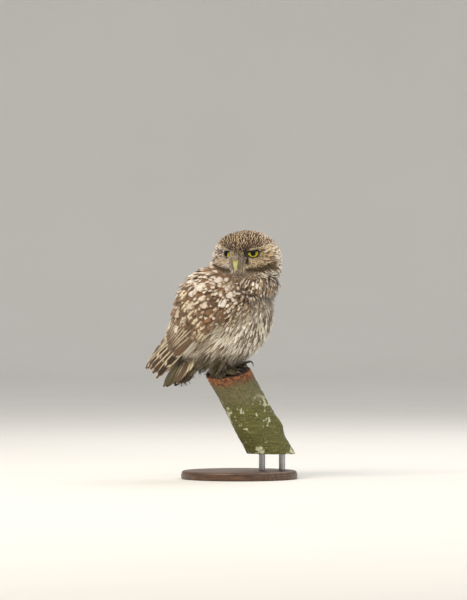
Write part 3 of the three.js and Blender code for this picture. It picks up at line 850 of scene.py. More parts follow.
@dataclass
class Skin:
    """One skin over body, neck, head, tail root and legs, inside the solids by the coat's depth."""

    depth: float = 4.2
    head_depth: float = 2.6
    grain: float = 1.05
    neck_depth: float = 3.6
    dome: float = 0.75
    lid: float = 0.7
    sunk: float = 6.0

    def torso(self) -> tuple[Array, list]:
        """The body's form."""
        t = np.linspace(0, 1, 60)
        s = -BODY.radius + (BODY.rear + BODY.radius) * (1 - np.cos(math.pi * t)) / 2
        turn = circle(72)
        s2, turn2 = np.meshgrid(s * 0.98, turn, indexing="ij")
        closing = np.sqrt(np.clip((61 - s2) / 16, 0, 1))
        under = ease(-np.cos(turn2), 0.18, 0.45)
        back = BODY.reach_back(s2) * closing - self.depth
        belly = np.where(s2 < BODY.joins, BODY.reach_back(s2), BODY.belly_line(s2)) - self.depth
        side = np.where(s2 < BODY.joins, BODY.reach_side(s2), BODY.reach_side(s2) * closing)
        low = np.minimum(BODY.reach_side(s2), np.where(s2 < BODY.joins, 99, BODY.belly_line(s2)))
        out = side * (1 - under) + low * under - self.depth
        up = np.where(np.cos(turn2) > 0, back, belly)
        points = BODY.around(s2, turn2, np.maximum(up, 0.3), np.maximum(out, 0.3))
        return points.reshape(-1, 3), barrel_faces(*s2.shape)

    def ball(self, reach: Map, move: Map) -> tuple[Array, list]:
        """A form given by how far it reaches in each direction."""
        a, b = np.meshgrid(np.linspace(0.02, math.pi - 0.02, 60), circle(84), indexing="ij")
        way = np.stack([np.sin(a) * np.cos(b), np.sin(a) * np.sin(b), np.cos(a)], axis=-1)
        points = move(way * reach(way)[..., None])
        return points.reshape(-1, 3), barrel_faces(*a.shape)

    def legs(self) -> list[tuple[Array, list]]:
        """Two short feathered legs."""
        made = []
        for side in SIDES:
            y = side * FOOT_OUT
            foot = np.array([FOOT_X, y, sawn_height(FOOT_X, y)])
            curve = through([foot + [-3, 0, 28], foot + [-1, 0, 13], foot + [0, 0, 4]],
                            np.linspace(0, 1, 12))
            size = np.linspace(10.0, 5.2, 12)
            made.append(tube(curve, np.stack([size, size], axis=1), np.array([1.0, 0, 0])))
        return made

    def build(self) -> Object:
        """Makes the skin as one closed mesh."""
        neck = self.ball(lambda w: 1 / np.linalg.norm(w / (NECK_SIZE - self.neck_depth), axis=-1),
                         lambda p: p + NECK_CENTRE)
        head = self.ball(lambda w: HEAD.reach(w) - self.head_depth, HEAD.placed)
        root = TAIL_ROOT + np.array([0.81, 0, -0.59]) * 8
        rump = tube(through([root + TAIL_ALONG * far for far in (-6, 22, 50)],
                            np.linspace(0, 1, 14)),
                    np.stack([np.linspace(16, 4, 14), np.linspace(12, 3, 14)], axis=1), LEFT)
        domes = [self.ball(lambda w: np.full(w.shape[:-1], EYES.radius + self.dome),
                           lambda p, c=EYES.centre(side): HEAD.placed(p + c)) for side in SIDES]
        points, faces = joined([self.torso(), neck, head, rump, *domes, *self.legs()])
        made = mesh_object("skin", points, faces)
        remesh = made.modifiers.new("one surface", "REMESH")
        remesh.mode, remesh.voxel_size = "VOXEL", self.grain * 0.001
        soften = made.modifiers.new("soften", "SMOOTH")
        soften.factor, soften.iterations = 0.5, 7
        made.data = bpy.data.meshes.new_from_object(
            made.evaluated_get(bpy.context.evaluated_depsgraph_get()))
        made.modifiers.clear()
        self.open_eyes(made)
        made.data.polygons.foreach_set("use_smooth", [True] * len(made.data.polygons))
        return made

    def open_eyes(self, made: Object) -> None:
        """Lays the lids over the eyes and sinks the skin in their windows."""
        mesh = made.data
        places = HEAD.own(millimetres(rows_of(mesh.vertices, "co")))
        for side in SIDES:
            q = places - EYES.centre(side)
            far = np.linalg.norm(q, axis=1)
            near = (far < 13) & (places[:, 0] > 12)
            wanted = np.where(EYES.openness(places, side) > 0.2, self.sunk,
                              np.maximum(far, EYES.radius + self.lid))
            target = EYES.centre(side) + q / far[:, None] * wanted[:, None]
            places[near] = target[near]
        mesh.vertices.foreach_set("co", settle(HEAD.placed(places)).astype(np.float32).ravel())
        mesh.update()


# ---- feathers -----------------------------------------------------------------------------------


@dataclass(frozen=True)
class Cut:
    """How a kind of feather is cut: barbs, their slant, gaps and ragged ends, and its hollow."""

    barbs: int = 7
    slant: float = 0.3
    gap: float = 0.12
    fray: float = 0.12
    hollow: float = 0.25
    outline: Profile = field(default_factory=lambda: Profile(
        (0, 0.5), (0.3, 0.92), (0.6, 1), (0.82, 0.82), (0.94, 0.5), (1, 0.2)))


COVERT = Cut(14, 0.36, 0.2, 0.16, 0.3, Profile(
    (0, 0.5), (0.3, 0.9), (0.6, 1), (0.82, 0.8), (0.94, 0.48), (1, 0.15)))
BREAST = Cut(13, 0.42, 0.35, 0.22, 0.25, Profile(
    (0, 0.5), (0.3, 0.9), (0.6, 1), (0.82, 0.8), (0.94, 0.5), (1, 0.2)))
DOWNY = Cut(11, 0.75, 0.62, 0.45, 0.2, Profile(
    (0, 0.6), (0.3, 0.95), (0.6, 0.9), (0.85, 0.55), (1, 0.2)))
SMALL = Cut(6, 0.45, 0.25, 0.2, 0.25)
FACE = Cut(4, 0.6, 0.45, 0.35, 0.1)
FLIGHT = Cut(40, 0.12, 0.05, 0.03, 0.12, Profile(
    (0, 0.35), (0.12, 0.8), (0.5, 1), (0.82, 0.9), (0.94, 0.66), (1, 0.22)))


@dataclass
class Vanes:
    """A batch of feathers of one cut: middle lines, ways out, widths, colours and styles."""

    cut: Cut
    line: Array
    out: Array
    width: Array
    ground: Array
    mark: Array
    style: Array
    place: Array

    def mesh(self, rng: Draw) -> tuple[Array, Array, Array, Array, Array]:
        """Works out the feathers' meshes.

        Args:
            rng: gives the raggedness.

        Returns:
            Points, faces, vane places, bake places and the feather that each point belongs to.
        """
        cut, count = self.cut, len(self.width)
        barbs = cut.barbs
        t = np.linspace(0, 1, barbs + 1) ** 0.92
        tau = t + cut.slant * (1 - t) * np.minimum(1, 0.35 + t)
        tau[-1] = 1.0
        jitter = rng.random((count, 2, barbs))
        shaft = through(self.line, t)
        gaps = cut.gap * 0.5
        steps = tau[1:] - tau[:-1]
        ends = np.stack([tau[:-1] + steps * gaps, tau[1:] - steps * gaps], axis=1).ravel()
        middle, up = through(self.line, ends), unit(through(self.out, ends))
        step = 0.02
        forward = unit(through(self.line, ends + step) - through(self.line, ends - step))
        side = unit(np.cross(forward, up))
        half = self.width[:, None] / 2 * cut.outline(ends)[None]
        outer = []
        for sign, row in ((1, 0), (-1, 1)):
            ragged = 1 + cut.fray * (jitter[:, row].repeat(2, axis=1) - 0.6)
            reach = (half * ragged)[..., None]
            outer.append(middle + sign * side * reach - up * reach * cut.hollow)
        points = np.concatenate([shaft, outer[0], outer[1]], axis=1)
        each = points.shape[1]
        shares = cut.outline(ends) * 0.5
        vane_u = np.concatenate([np.full(barbs + 1, 0.5), 0.5 + shares, 0.5 - shares])
        vane_v = np.concatenate([t, ends, ends])
        vane = np.stack([vane_u, vane_v], axis=1)
        j = np.arange(barbs)
        right = np.stack([j, barbs + 1 + 2 * j, barbs + 2 + 2 * j, j + 1], axis=1)
        start = barbs + 1 + 2 * barbs
        left = np.stack([j + 1, start + 2 * j + 1, start + 2 * j, j], axis=1)
        one = np.concatenate([right, left])
        faces = (one[None] + np.arange(count)[:, None, None] * each).reshape(-1, 4)
        bake = self.place[:, None] + (vane[None] - [0.5, 0.5]) * 0.003
        owner = np.arange(count).repeat(each)
        return (points.reshape(-1, 3), faces, np.tile(vane, (count, 1)), bake.reshape(-1, 2), owner)


def coat_piece(name: str, batches: Sequence[Vanes], seed: int) -> Object:
    """Makes one piece of several batches of feathers.

    Args:
        name: the piece's name.
        batches: the feathers.
        seed: sets the raggedness.

    Returns:
        The piece.
    """
    rng = np.random.default_rng(seed)
    points, faces, vane, bake, start = [], [], [], [], 0
    kept: dict[str, list[Array]] = {"ground": [], "mark": [], "style": []}
    for batch in batches:
        some, their, across, patch, owner = batch.mesh(rng)
        points.append(some)
        faces.append(their + start)
        vane.append(across)
        bake.append(patch)
        start += len(some)
        for key in kept:
            kept[key].append(getattr(batch, key)[owner])
    mesh = bpy.data.meshes.new(name)
    all_points, all_faces = np.concatenate(points), np.concatenate(faces)
    mesh.vertices.add(len(all_points))
    mesh.vertices.foreach_set("co", settle(all_points).astype(np.float32).ravel())
    mesh.loops.add(all_faces.size)
    mesh.loops.foreach_set("vertex_index", all_faces.ravel().astype(np.int32))
    mesh.polygons.add(len(all_faces))
    mesh.polygons.foreach_set("loop_start", np.arange(0, all_faces.size, 4, dtype=np.int32))
    mesh.polygons.foreach_set("use_smooth", [True] * len(all_faces))
    mesh.update(calc_edges=True)
    made = linked(name, mesh)
    uv_map(made, "vane", np.concatenate(vane))
    uv_map(made, "OFBake", np.clip(np.concatenate(bake), 0.001, 0.999))
    for key, parts in kept.items():
        attribute(made, key, np.concatenate(parts))
    return made


# ---- markings -----------------------------------------------------------------------------------


class Tone(Enum):
    """The plumage's colours; SHADOW is laid as painted shade, and OLIVE also as painted shade and
    olive reflected light low on the bird.
    """

    CROWN = "462b1a"
    CROWN_PALE = "755c46"
    STREAK = "d6c2a0"
    BROW = "bdb08a"
    WHITE = "f2ead9"
    CREAM = "ddcdae"
    BUFF = "b39a78"
    CHEEK = "baa077"
    GREY = "bbafa8"
    LORE = "3a2a1d"
    BAND = "2b1c0e"
    BLACK = "17110c"
    BROWN = "785e44"
    DARK = "5a4333"
    RUFOUS = "8a6542"
    SPOT = "e0d7cb"
    STRIPE = "56402b"
    BELLY = "e2d9c3"
    SHADOW = "6f5f45"
    OLIVE = "463a17"
    SLATE = "544b31"
    TAIL_PALE = "93895c"
    HAIR = "8b7d74"

    @property
    def rgb(self) -> Array:
        """Its linear colour."""
        return tint(self.value)

    def to(self, other: "Tone", share: Array) -> Array:
        """This colour mixed with another by a share for each row."""
        return blend(self.rgb, other.rgb, share)


@dataclass
class Dress:
    """What a scattering of feathers looks like: sizes, lie, colours and styles, row by row."""

    spacing: Array
    length: Array
    width: Array
    lift: Array
    curl: Array
    hang: Array
    ground: Array
    mark: Array
    style: Array
    cut: Array

    def take(self, rows: Array) -> "Dress":
        """The dress of some of the feathers."""
        return Dress(**{key: getattr(self, key)[rows] for key in self.__dataclass_fields__})


@dataclass
class Look:
    """Colours and mark forms, row by row, that markings are laid over in turn."""

    ground: Array
    mark: Array
    style: Array

    def lay(self, share: Array, ground: Tone | Array | None = None,
            mark: Tone | Array | None = None, spot: float | Array | None = None,
            streak: float | Array = 0.0, bars: float = 0.0, fringe: float | Array = 0.0) -> None:
        """Lays one marking over the rest; what isn't given stays.

        Args:
            share: how much of it each row takes.
            ground: its ground colour.
            mark: its mark's colour.
            spot: how large its round mark is.
            streak: how wide its streak is.
            bars: how strong its bars are.
            fringe: how broad its fringe is.
        """
        for key, colour in (("ground", ground), ("mark", mark)):
            if colour is not None:
                colour = colour.rgb if isinstance(colour, Tone) else colour
                setattr(self, key, blend(getattr(self, key), colour, share))
        if spot is not None:
            form = np.stack(np.broadcast_arrays(spot, streak, bars, fringe), axis=-1)
            self.style = blend(self.style, form, share)


CUTS = [FACE, SMALL, COVERT, BREAST, DOWNY]


class Markings:
    """Says what grows at each place of the skin, and in which colours."""

    brow: ClassVar[Profile] = Profile((0, 15), (9, 18.5), (24, 24), (46, 28), (70, 28.5), (95, 26))
    coverts_end: ClassVar[Profile] = Profile((0, 50), (30, 42), (60, 24), (85, 14), (104, 2))
    band: ClassVar[Profile] = Profile((10, -14.5), (20, -14), (46, -12), (64, -6.5), (84, 0))

    def __init__(self, seed: int) -> None:
        """Starts the draw of random shades."""
        self.rng = np.random.default_rng(seed)

    @staticmethod
    def head_share(p: Array) -> tuple[Array, Array, Array, Array]:
        """Which places are on the head, with their own-frame azimuth, elevation and direction."""
        q = HEAD.own(p)
        far = np.linalg.norm(q, axis=1)
        way = q / far[:, None]
        azimuth = np.degrees(np.arctan2(way[:, 1], way[:, 0]))
        elevation = np.degrees(np.arcsin(np.clip(way[:, 2], -1, 1)))
        eye = np.minimum(*(np.linalg.norm(q - EYES.centre(side), axis=1) for side in SIDES))
        on = ((far < HEAD.reach(way) * 1.03) | (eye < 13)) & (elevation > -40)
        return on, azimuth, elevation, way

    def flow(self, p: Array) -> Array:
        """The lie of the feathers at each place."""
        on, _, _, way = self.head_share(p)
        body = BODY.aft + np.array([0, 0, -0.22])
        neck = np.array([-0.3, 0, -1.0])
        lie = blend(body, neck, ease(p[:, 2], 72, 98) * ease(p[:, 0], -5, 20))
        bill = unit(np.array([1.0, 0, 0.05]))
        away = way * (way @ bill)[:, None] - bill
        eye = np.tile(HEAD.hollow, (len(p), 1))
        eye[:, 1] *= np.where(way[:, 1] > 0, 1, -1)
        eye = unit(eye)
        near = np.arccos(np.clip(np.sum(way * eye, axis=1), -1, 1))
        ring = way * np.sum(way * eye, axis=1)[:, None] - eye
        face = unit(blend(unit(away), unit(ring), 0.8 * hump(near, 0, 0.55)))
        return np.where(on[:, None], face @ HEAD.spin.T, lie)

    def shades(self, count: int, spread: float | Array) -> Array:
        """A random share about 1 for each feather."""
        return np.clip(1 + spread * self.rng.standard_normal((count, 1)), 0.4, 1.7)

    def dress(self, p: Array) -> Dress:
        """What grows at each place.

        Args:
            p: places on the skin, (N, 3).

        Returns:
            Their dress.
        """
        count = len(p)
        on, azimuth, elevation, _ = self.head_share(p)
        body, head = self.body_dress(p), self.head_dress(p, azimuth, elevation)
        out = {}
        for key in Dress.__dataclass_fields__:
            a, b = getattr(body, key), getattr(head, key)
            out[key] = np.where(on.reshape((count,) + (1,) * (a.ndim - 1)), b, a)
        return Dress(**out)

    def head_dress(self, p: Array, azimuth: Array, elevation: Array) -> Dress:
        """The dress of the head."""
        count, rng = len(p), self.rng
        az, el = np.abs(azimuth), elevation
        luck, more = rng.random(count), rng.random(count)
        above = el - self.brow(az)
        crown = ease(above, 0.5, 3.0)
        front = fall(above, 3, 20)
        nape = ease(az, 75, 125)
        pale = np.clip(ease(az, 36, 100) * 0.8 + 0.25 * ease(azimuth, 10, 60), 0, 1)
        look = Look(Tone.CROWN.to(Tone.CROWN_PALE, pale), Tone.STREAK.to(Tone.WHITE, 0.6 * pale),
                    np.stack([(luck < 0.93) * (0.1 + 0.16 * front + 0.2 * pale),
                              (luck < 0.93) * (0.34 + 0.14 * more + 0.22 * pale)
                              * (1 - 0.4 * front), np.zeros(count), np.ones(count)], axis=1))
        length, width = 6.8 - 2.2 * front + 4 * nape, 3.0 - 0.8 * front + 1.6 * nape
        spacing, lift = 2.15 - 0.6 * front + 0.7 * nape, 1.9 + 0.4 * nape
        paint = look.lay
        below = 1 - crown
        right = ease(azimuth, -8, 8)
        cheek = below * ease(-above, 1.0, 4.0)
        paint(cheek, Tone.GREY, Tone.WHITE, 0.2, 0.3)
        paint(cheek * right, Tone.CHEEK, Tone.CREAM, 0.1, 0.35)
        paint(cheek * right * (more < 0.25), Tone.CREAM, Tone.WHITE, 0.1, 0.35)
        paint(cheek * (luck < 0.4) * ease(az, 24, 40), Tone.STRIPE, Tone.BUFF, 0.0, 0.25)
        paint(cheek * ease(az, 54, 74) * (more < 0.7), Tone.CROWN_PALE, Tone.WHITE, 0.6, 0.2)
        paint(cheek * hump(az, 38, 14) * hump(el, 1, 6) * 0.8, Tone.BUFF, Tone.CREAM, 0.1, 0.3)
        paint(below * hump(az, 10, 5) * ease(el, -10, 0) * fall(el, 9, 13),
              Tone.HAIR, Tone.CREAM, 0.0, 0.25)
        between = ease(el, 7, 11) * fall(el, 15, 18) * fall(az, 9, 13)
        paint(between, Tone.CROWN, Tone.TAIL_PALE, 0, 0.25)
        paint(between * hump(el, 12, 4) * (luck < 0.6), Tone.TAIL_PALE, Tone.BROW, 0, 0.2)
        stripe = hump(azimuth, -15, 5) * hump(el, 7, 11)
        paint(np.clip(1.6 * stripe, 0, 1) * below, Tone.BROW, Tone.CREAM, 0, 0.3)
        browline = hump(above, -0.8, 1.3) * ease(az, 3, 8) * fall(az, 50, 78)
        paint(browline, Tone.BROW, Tone.WHITE, 0.1, 0.3)
        line = hump(azimuth, 19, 4.4) * ease(el, -5, 0) * fall(el, 21, 25)
        paint(np.clip(line * 2.0, 0, 1), Tone.BLACK, Tone.LORE, 0, 0.1)
        paint(hump(azimuth, 26, 5) * hump(el, -2, 4) * (luck < 0.5), Tone.STRIPE, Tone.CHEEK,
              0, 0.1)
        paint(hump(az, 50, 6) * hump(el, 13, 4) * right * 0.6, Tone.TAIL_PALE, Tone.BROW, 0, 0.2)
        corner = hump(az, 48, 5) * hump((el - 19 - 0.2 * (az - 48)) / 2.2)
        paint(np.clip(1.3 * corner, 0, 1), Tone.BLACK, Tone.LORE, 0, 0.1)
        lower = el - self.band(az)
        under = ease(-lower, 2, 5)
        paint(under * fall(az, 22, 40), Tone.HAIR, Tone.CREAM, 0.1, 0.3)
        paint(under * ease(-lower, 5, 12) * (luck < 0.6), Tone.BROWN, Tone.CREAM, 0.3, 0.2)
        paint(under * ease(az, 26, 42), Tone.CROWN, Tone.WHITE, 0.4, 0.2)
        paint(under * ease(az, 40, 55) * (luck > 0.8), Tone.BAND, Tone.CREAM, 0.25, 0.1)
        paint(under * ease(az, 34, 50) * (luck < 0.24) * (1 - ease(-lower, 9, 22) * 0.5),
              Tone.CREAM, Tone.WHITE, 0.4, 0.4)
        strip = hump(lower, -0.5, 4.6) * ease(az, 12, 20) * fall(az, 72, 86)
        paint(np.clip(strip * 1.7, 0, 1), Tone.BAND, Tone.CHEEK, 0.0, 0.16)
        paint(hump(azimuth, 84, 10) * hump(el, -1, 16) * (luck < 0.45), Tone.CREAM,
              Tone.WHITE, 0.5, 0.5)
        near = np.full(count, 99.0)
        own = HEAD.own(p)
        for side in SIDES:
            inside = EYES.openness(own, side)
            near = np.where(inside > -8, np.minimum(near, -inside), near)
        rim = np.where(near < 90, 1 - ease(near, 0.5, 1.9), 0)
        paint(rim * (0.5 + 0.5 * right), Tone.LORE, Tone.BLACK, 0, 0.3)
        close = np.where(near < 90, 1 - ease(near, 1.0, 7.0), 0)
        face = np.maximum(below * fall(az, 45, 70), close)
        length = length * (1 - 0.42 * face) * (1 - 0.4 * close)
        width = width * (1 - 0.38 * face) * (1 - 0.25 * close)
        spacing = spacing * (1 - 0.24 * face) * (1 - 0.15 * close)
        lift = lift * (1 - 0.45 * face) * (1 - 0.5 * close)
        length = length * (1 - 0.3 * browline)
        length, width = length * (1 - 0.2 * crown * front), width * (1 - 0.1 * crown * front)
        ridge = below * (hump(az, 13, 5) * hump(el, 9, 9)
                         + 0.3 * hump(az, 59, 6) * hump(el, 14, 10))
        lift, length = lift + 2.6 * ridge, length + 1.6 * ridge
        ruff = ease(-lower, 3, 8) * ease(az, 25, 45) * (0.4 + 0.6 * more)
        length, lift = length + 2.6 * ruff, lift + 1.1 * ruff
        width, spacing = width + 0.9 * ruff, spacing + 0.2 * ruff
        cut = np.where((face > 0.4) | (close > 0.4), 0, 1)
        return Dress(spacing, length, width, lift, 0.3 * more, 1.5 * ruff,
                     look.ground * self.shades(count, 0.13 + 0.2 * face[:, None]),
                     look.mark * self.shades(count, 0.1), look.style, cut)

    def body_dress(self, p: Array) -> Dress:
        """The dress of body, neck, wings and legs."""
        count, rng = len(p), self.rng
        s, turn = BODY.polar(p)
        luck, more = rng.random(count), rng.random(count)
        zero, z = np.zeros(count), p[:, 2]
        patch = bumpy(p, 15.0, 2)
        lane = bumpy(np.stack([turn * np.sign(p[:, 1]) * 0.32, s * 0.055, zero], axis=1), 1.0, 2)
        wing = ease(BODY.wing_low(s) - turn, -1, 5) * ease(s, -50, -42)
        wing = wing * (1 - ease(z, 96, 106) * ease(p[:, 0], 5, 18))
        dotted = (luck < 0.3).astype(float)
        look = Look(Tone.BROWN.to(Tone.RUFOUS, 0.7 * ease(patch, 0.0, 0.35)),
                    Tone.BUFF.to(Tone.SPOT, dotted * (0.2 + 0.6 * more)),
                    np.stack([dotted * (0.3 + 0.3 * more), zero, zero,
                              (1 - dotted) * 0.3 * more], axis=1))
        look.lay(0.75 * ease(-patch, 0.0, 0.35), Tone.DARK)
        dusted = ease(z + 8 * patch, 81, 95) * (more < 0.4)
        look.lay(dusted, None, Tone.SPOT, 0.42, fringe=0.3)
        look.lay(0.55 * dusted, Tone.BUFF)
        far = ease(s, -45, 30)
        wide = 1 + 0.13 * rng.standard_normal(count)
        length, width = 11 + 11 * far, (5.2 + 5.0 * far) * wide
        spacing, lift, curl = 2.4 + 2.0 * far, 3.6 + 0.9 * far, 0.5 * more

        plain = 1 - wing
        look.lay(plain, Tone.CREAM.to(Tone.WHITE, ease(more, 0, 0.6)),
                 Tone.STRIPE.to(Tone.BROWN, 0.6 * luck), 0,
                 ease(lane, -0.03, 0.1) * (0.6 + 0.4 * more))
        wrist = plain * ease(z, 46, 66) * fall(turn, 108, 140) * ease(-s, -30, 4)
        look.lay(wrist * (luck < 0.75), Tone.BROWN.to(Tone.DARK, more), Tone.CREAM,
                 0.2 + 0.35 * more, 0.25 * more)
        look.lay(plain * ease(z, 60, 78) * 0.5 * (more < 0.6), Tone.BROWN)
        neck = plain * ease(z + 14 * patch + 6 * (luck - 0.5), 76, 96)
        look.lay(neck, Tone.BUFF.to(Tone.DARK, ease(more, 0.08, 0.6)),
                 Tone.BUFF.to(Tone.WHITE, more), (luck < 0.66) * (0.25 + 0.5 * more**2),
                 fringe=(luck > 0.5) * 0.45)
        belly = plain * fall(z, 44, 64) * ease(s, -30, 0)
        wisp = ease(lane + 0.5 * patch, -0.2, 0.25)
        # Belly plumes white to buff, with painted shade (SHADOW) in the gaps between the wisps.
        look.lay(belly, blend(Tone.WHITE.to(Tone.BUFF, wisp * 0.5), Tone.SHADOW.rgb,
                              0.85 * ease(wisp * (0.3 + 0.7 * luck), 0.55, 0.85)))
        look.lay(belly * (luck < 0.7), spot=0)
        # Painted shade: flank feathers darker just under the wing's lower edge.
        edge = plain * hump((turn - BODY.wing_low(s) - 5) / 9) * hump(s, 12, 28)
        look.lay(0.6 * edge, Tone.SHADOW)
        near = p * np.array([1, 0, 1]) - LEFT * np.abs(p[:, 1:2])
        across = near @ PICTURE_RIGHT
        shadow = z - np.interp(across, [-44, -16, 14, 24], [44, 60, 80, 90])
        shadow = hump(shadow, 0, 5.5) * ease(across, -50, -38) * fall(across, 12, 24) * plain
        look.lay(shadow * (more < 0.85), Tone.DARK.to(Tone.CROWN, luck))
        # Painted shade and olive reflected light: belly and flank feathers darken to dark olive
        # towards the bottom.
        low = plain * fall(z + 8 * patch, 21, 39)
        look.lay(low * (0.75 + 0.25 * more), Tone.OLIVE)
        length = length * (1 - plain) + plain * (15 + 7 * ease(s, -20, 30))
        width = width * (1 - plain) + plain * (3.7 - 0.6 * belly)
        spacing = spacing * (1 - plain) + plain * (2.05 - 0.2 * belly)
        lift = lift * (1 - plain) + plain * (3.4 + 1.0 * belly)
        curl = curl + plain * (0.7 * more + 1.2 * belly * more)
        hang = plain * fall(z, 8, 34) * (10.0 + 4.0 * more)
        length = length + 4 * plain * fall(z, 14, 30)
        cut = np.where(belly + low > 0.45, 4, np.where(plain > 0.5, 3, 2))
        length, width = length + (8.6 - length) * neck, width + (4.4 - width) * neck
        spacing = spacing + (2.1 - spacing) * neck
        lift = lift + 1.5 * (plain * hump(z, 93, 11) * ease(p[:, 0], 8, 30))
        leg = (z < 15) & (np.abs(np.abs(p[:, 1]) - FOOT_OUT) < 10) & (p[:, 0] < 8)
        length, width = np.where(leg, 10.5, length), np.where(leg, 2.4, width)
        spacing, lift = np.where(leg, 1.8, spacing), np.where(leg, 2.2, lift)
        hang = np.where(leg, 2.5, hang)
        # Leg feathers: buff darkened towards olive, painted shade round the feet.
        ground = np.where(leg[:, None], Tone.OLIVE.to(Tone.BUFF, 0.5 * luck), look.ground)
        return Dress(spacing, length, width, lift, curl, hang, ground * self.shades(count, 0.1),
                     look.mark * self.shades(count, 0.06), look.style, cut)


# ---- the coat -----------------------------------------------------------------------------------


@dataclass
class Coat:
    """The small feathers over the skin, laid like shingles along the body."""

    ground: Ground
    markings: Markings
    seed: int = 11
    tries: int = 150000
    steps: int = 5

    def roots(self) -> tuple[Array, Array, Dress]:
        """Evenly spread roots, the way out at each and its dress."""
        rng = np.random.default_rng(self.seed)
        p, out = self.ground.scattered(self.tries, rng)
        bare = np.zeros(len(p), bool)
        own = HEAD.own(p)
        for side in SIDES:
            bare |= EYES.openness(own, side) > -0.7
            bare |= np.linalg.norm(own - EYES.centre(side), axis=1) < EYES.radius + 0.2
        bare |= (np.hypot(own[:, 1] / 4.6, (own[:, 2] + 1.0) / 8.2) < 1) & (own[:, 0] > 20)
        s, turn = BODY.polar(p)
        bare |= (s > Markings.coverts_end(turn)) & (turn < BODY.wing_low(s) + 1)
        over_wood = np.hypot(p[:, 0], p[:, 1]) < RIM_REACH
        bare |= over_wood & (p[:, 2] < sawn_height(p[:, 0], p[:, 1]) + 2.0)
        p, out = p[~bare], out[~bare]
        dress = self.markings.dress(p)
        tree = KDTree(len(p))
        for i, place in enumerate(p):
            tree.insert(place, i)
        tree.balance()
        alive, keep = np.ones(len(p), bool), []
        for i in range(len(p)):
            if alive[i]:
                keep.append(i)
                for _, j, _ in tree.find_range(p[i], dress.spacing[i]):
                    alive[j] = False
        keep = np.array(keep)
        return p[keep], out[keep], dress.take(keep)

    def lines(self, p: Array, out: Array, length: Array, lift: Array, curl: Array,
              hang: Array | float = 0.0, sink: float = 0.7) -> tuple[Array, Array]:
        """Middle lines that follow the skin and the lie of the coat.

        Args:
            p: roots.
            out: the way out at each root.
            length: how long each feather is.
            lift: how far its tip stands off the skin.
            curl: how far its tip is bent further out.
            hang: how far its tip sinks down.
            sink: how deep the roots are.

        Returns:
            The lines and the ways out along them.
        """
        lie = flattened(self.markings.flow(p), out)
        rng = np.random.default_rng(self.seed + 1)
        lie = unit(lie + 0.17 * np.cross(out, lie) * rng.standard_normal((len(p), 1)))
        lines, ways = [p - out * sink], [out]
        here, heading = p, lie
        lift = lift * (1 + 0.16 * rng.standard_normal(len(p)))
        for k in range(1, self.steps + 1):
            t = k / self.steps
            here, way = self.ground.nearest(here + heading * (length / self.steps)[:, None])
            wish = flattened(self.markings.flow(here), way)
            heading = flattened(unit(heading * 0.65 + wish * 0.35), way)
            rise = -sink + (lift + sink) * t + curl * t**4
            sag = np.zeros((len(p), 3))
            sag[:, 2] = -np.asarray(hang) * t**1.7
            lines.append(here + way * rise[:, None] + sag)
            ways.append(way)
        line, way = np.stack(lines, axis=1), np.stack(ways, axis=1)
        roll = 0.16 * rng.standard_normal((len(p), 1, 1))
        return line, unit(way + roll * np.cross(way, unit(np.gradient(line, axis=1))))

    @staticmethod
    def unwrapped(p: Array) -> Array:
        """Each root's place on an unwrap of the skin, the head beside the body."""
        on, azimuth, elevation, _ = Markings.head_share(p)
        head = np.stack([0.72 + 0.26 * (azimuth + 180) / 360, (elevation + 90) / 180], axis=1)
        q = p - np.array(BODY.centre)
        s = q @ BODY.aft
        turn = np.arctan2(q[:, 1], q @ BODY.dorsal)
        body = np.stack([0.02 + 0.66 * (turn + math.pi) / (2 * math.pi),
                         0.02 + 0.96 * np.clip((s + 75) / 150, 0, 1)], axis=1)
        return np.where(on[:, None], head, body)

    def batch(self, cut: Cut, p: Array, out: Array, dress: Dress) -> Vanes:
        """Feathers of one cut from their roots."""
        line, ways = self.lines(p, out, dress.length, dress.lift, dress.curl, dress.hang)
        return Vanes(cut, line, ways, dress.width, dress.ground, dress.mark, dress.style,
                     self.unwrapped(p))

    def build(self, finish: Material) -> None:
        """Makes the coat in a few pieces."""
        p, out, dress = self.roots()
        on, _, _, _ = Markings.head_share(p)
        left, front = p[:, 1] > 0, p[:, 0] > -12
        fore = HEAD.own(p)[:, 0] > 8
        groups = {"coat_face": on & fore, "coat_nape": on & ~fore,
                  "coat_front_left": ~on & left & front, "coat_rear_left": ~on & left & ~front,
                  "coat_front_right": ~on & ~left & front,
                  "coat_rear_right": ~on & ~left & ~front}
        for seed, (name, group) in enumerate(groups.items()):
            batches = []
            for kind, cut in enumerate(CUTS):
                pick = np.flatnonzero(group & (dress.cut == kind))
                if len(pick):
                    batches.append(self.batch(cut, p[pick], out[pick], dress.take(pick)))
            ready(coat_piece(name, batches, self.seed + seed), finish, "plumage_brown")
            log.info("%s: %d feathers", name, int(group.sum()))


# ---- wings and tail -----------------------------------------------------------------------------


@dataclass(frozen=True)
class Spot:
    """A large pale mark on a wing, by its place in the picture."""

    across: float
    height: float
    size: float


SPOTS = [Spot(*row) for row in (
    (-40.6, 99.7, 5), (-49.3, 95.9, 3.6), (-14, 102.4, 6), (-28.7, 95, 8.4), (-38.7, 90, 7.4),
    (-58, 78.5, 6.4), (-2.5, 102.9, 3.4), (-2.1, 92.3, 6.6), (-1.2, 86.8, 5.4), (2, 83.2, 4.4),
    (-29.2, 83.2, 5), (-11.2, 80.9, 7.4), (-25.5, 76.2, 6), (-37.4, 72.2, 6.6),
    (10.2, 92.7, 2.8), (5.7, 78.1, 2.8), (-4.4, 76.2, 2.6), (-2.1, 70.3, 3.2), (-53.9, 66.2, 5.4),
    (-45.7, 63.5, 6), (-61.7, 62.5, 5), (-55.8, 49.7, 6.6), (-71.3, 42.8, 3), (-64.9, 37.3, 5.4),
    (-31.4, 112.7, 4.6), (-41.3, 108.4, 3.8), (9.4, 67.1, 3.6), (-14.3, 62.7, 3.8),
    (-27.5, 109.5, 4), (-20, 110, 4.2), (-35, 104.5, 4), (-12.5, 107.5, 3.6), (-47, 102.5, 4),
    (-53, 90, 4))]


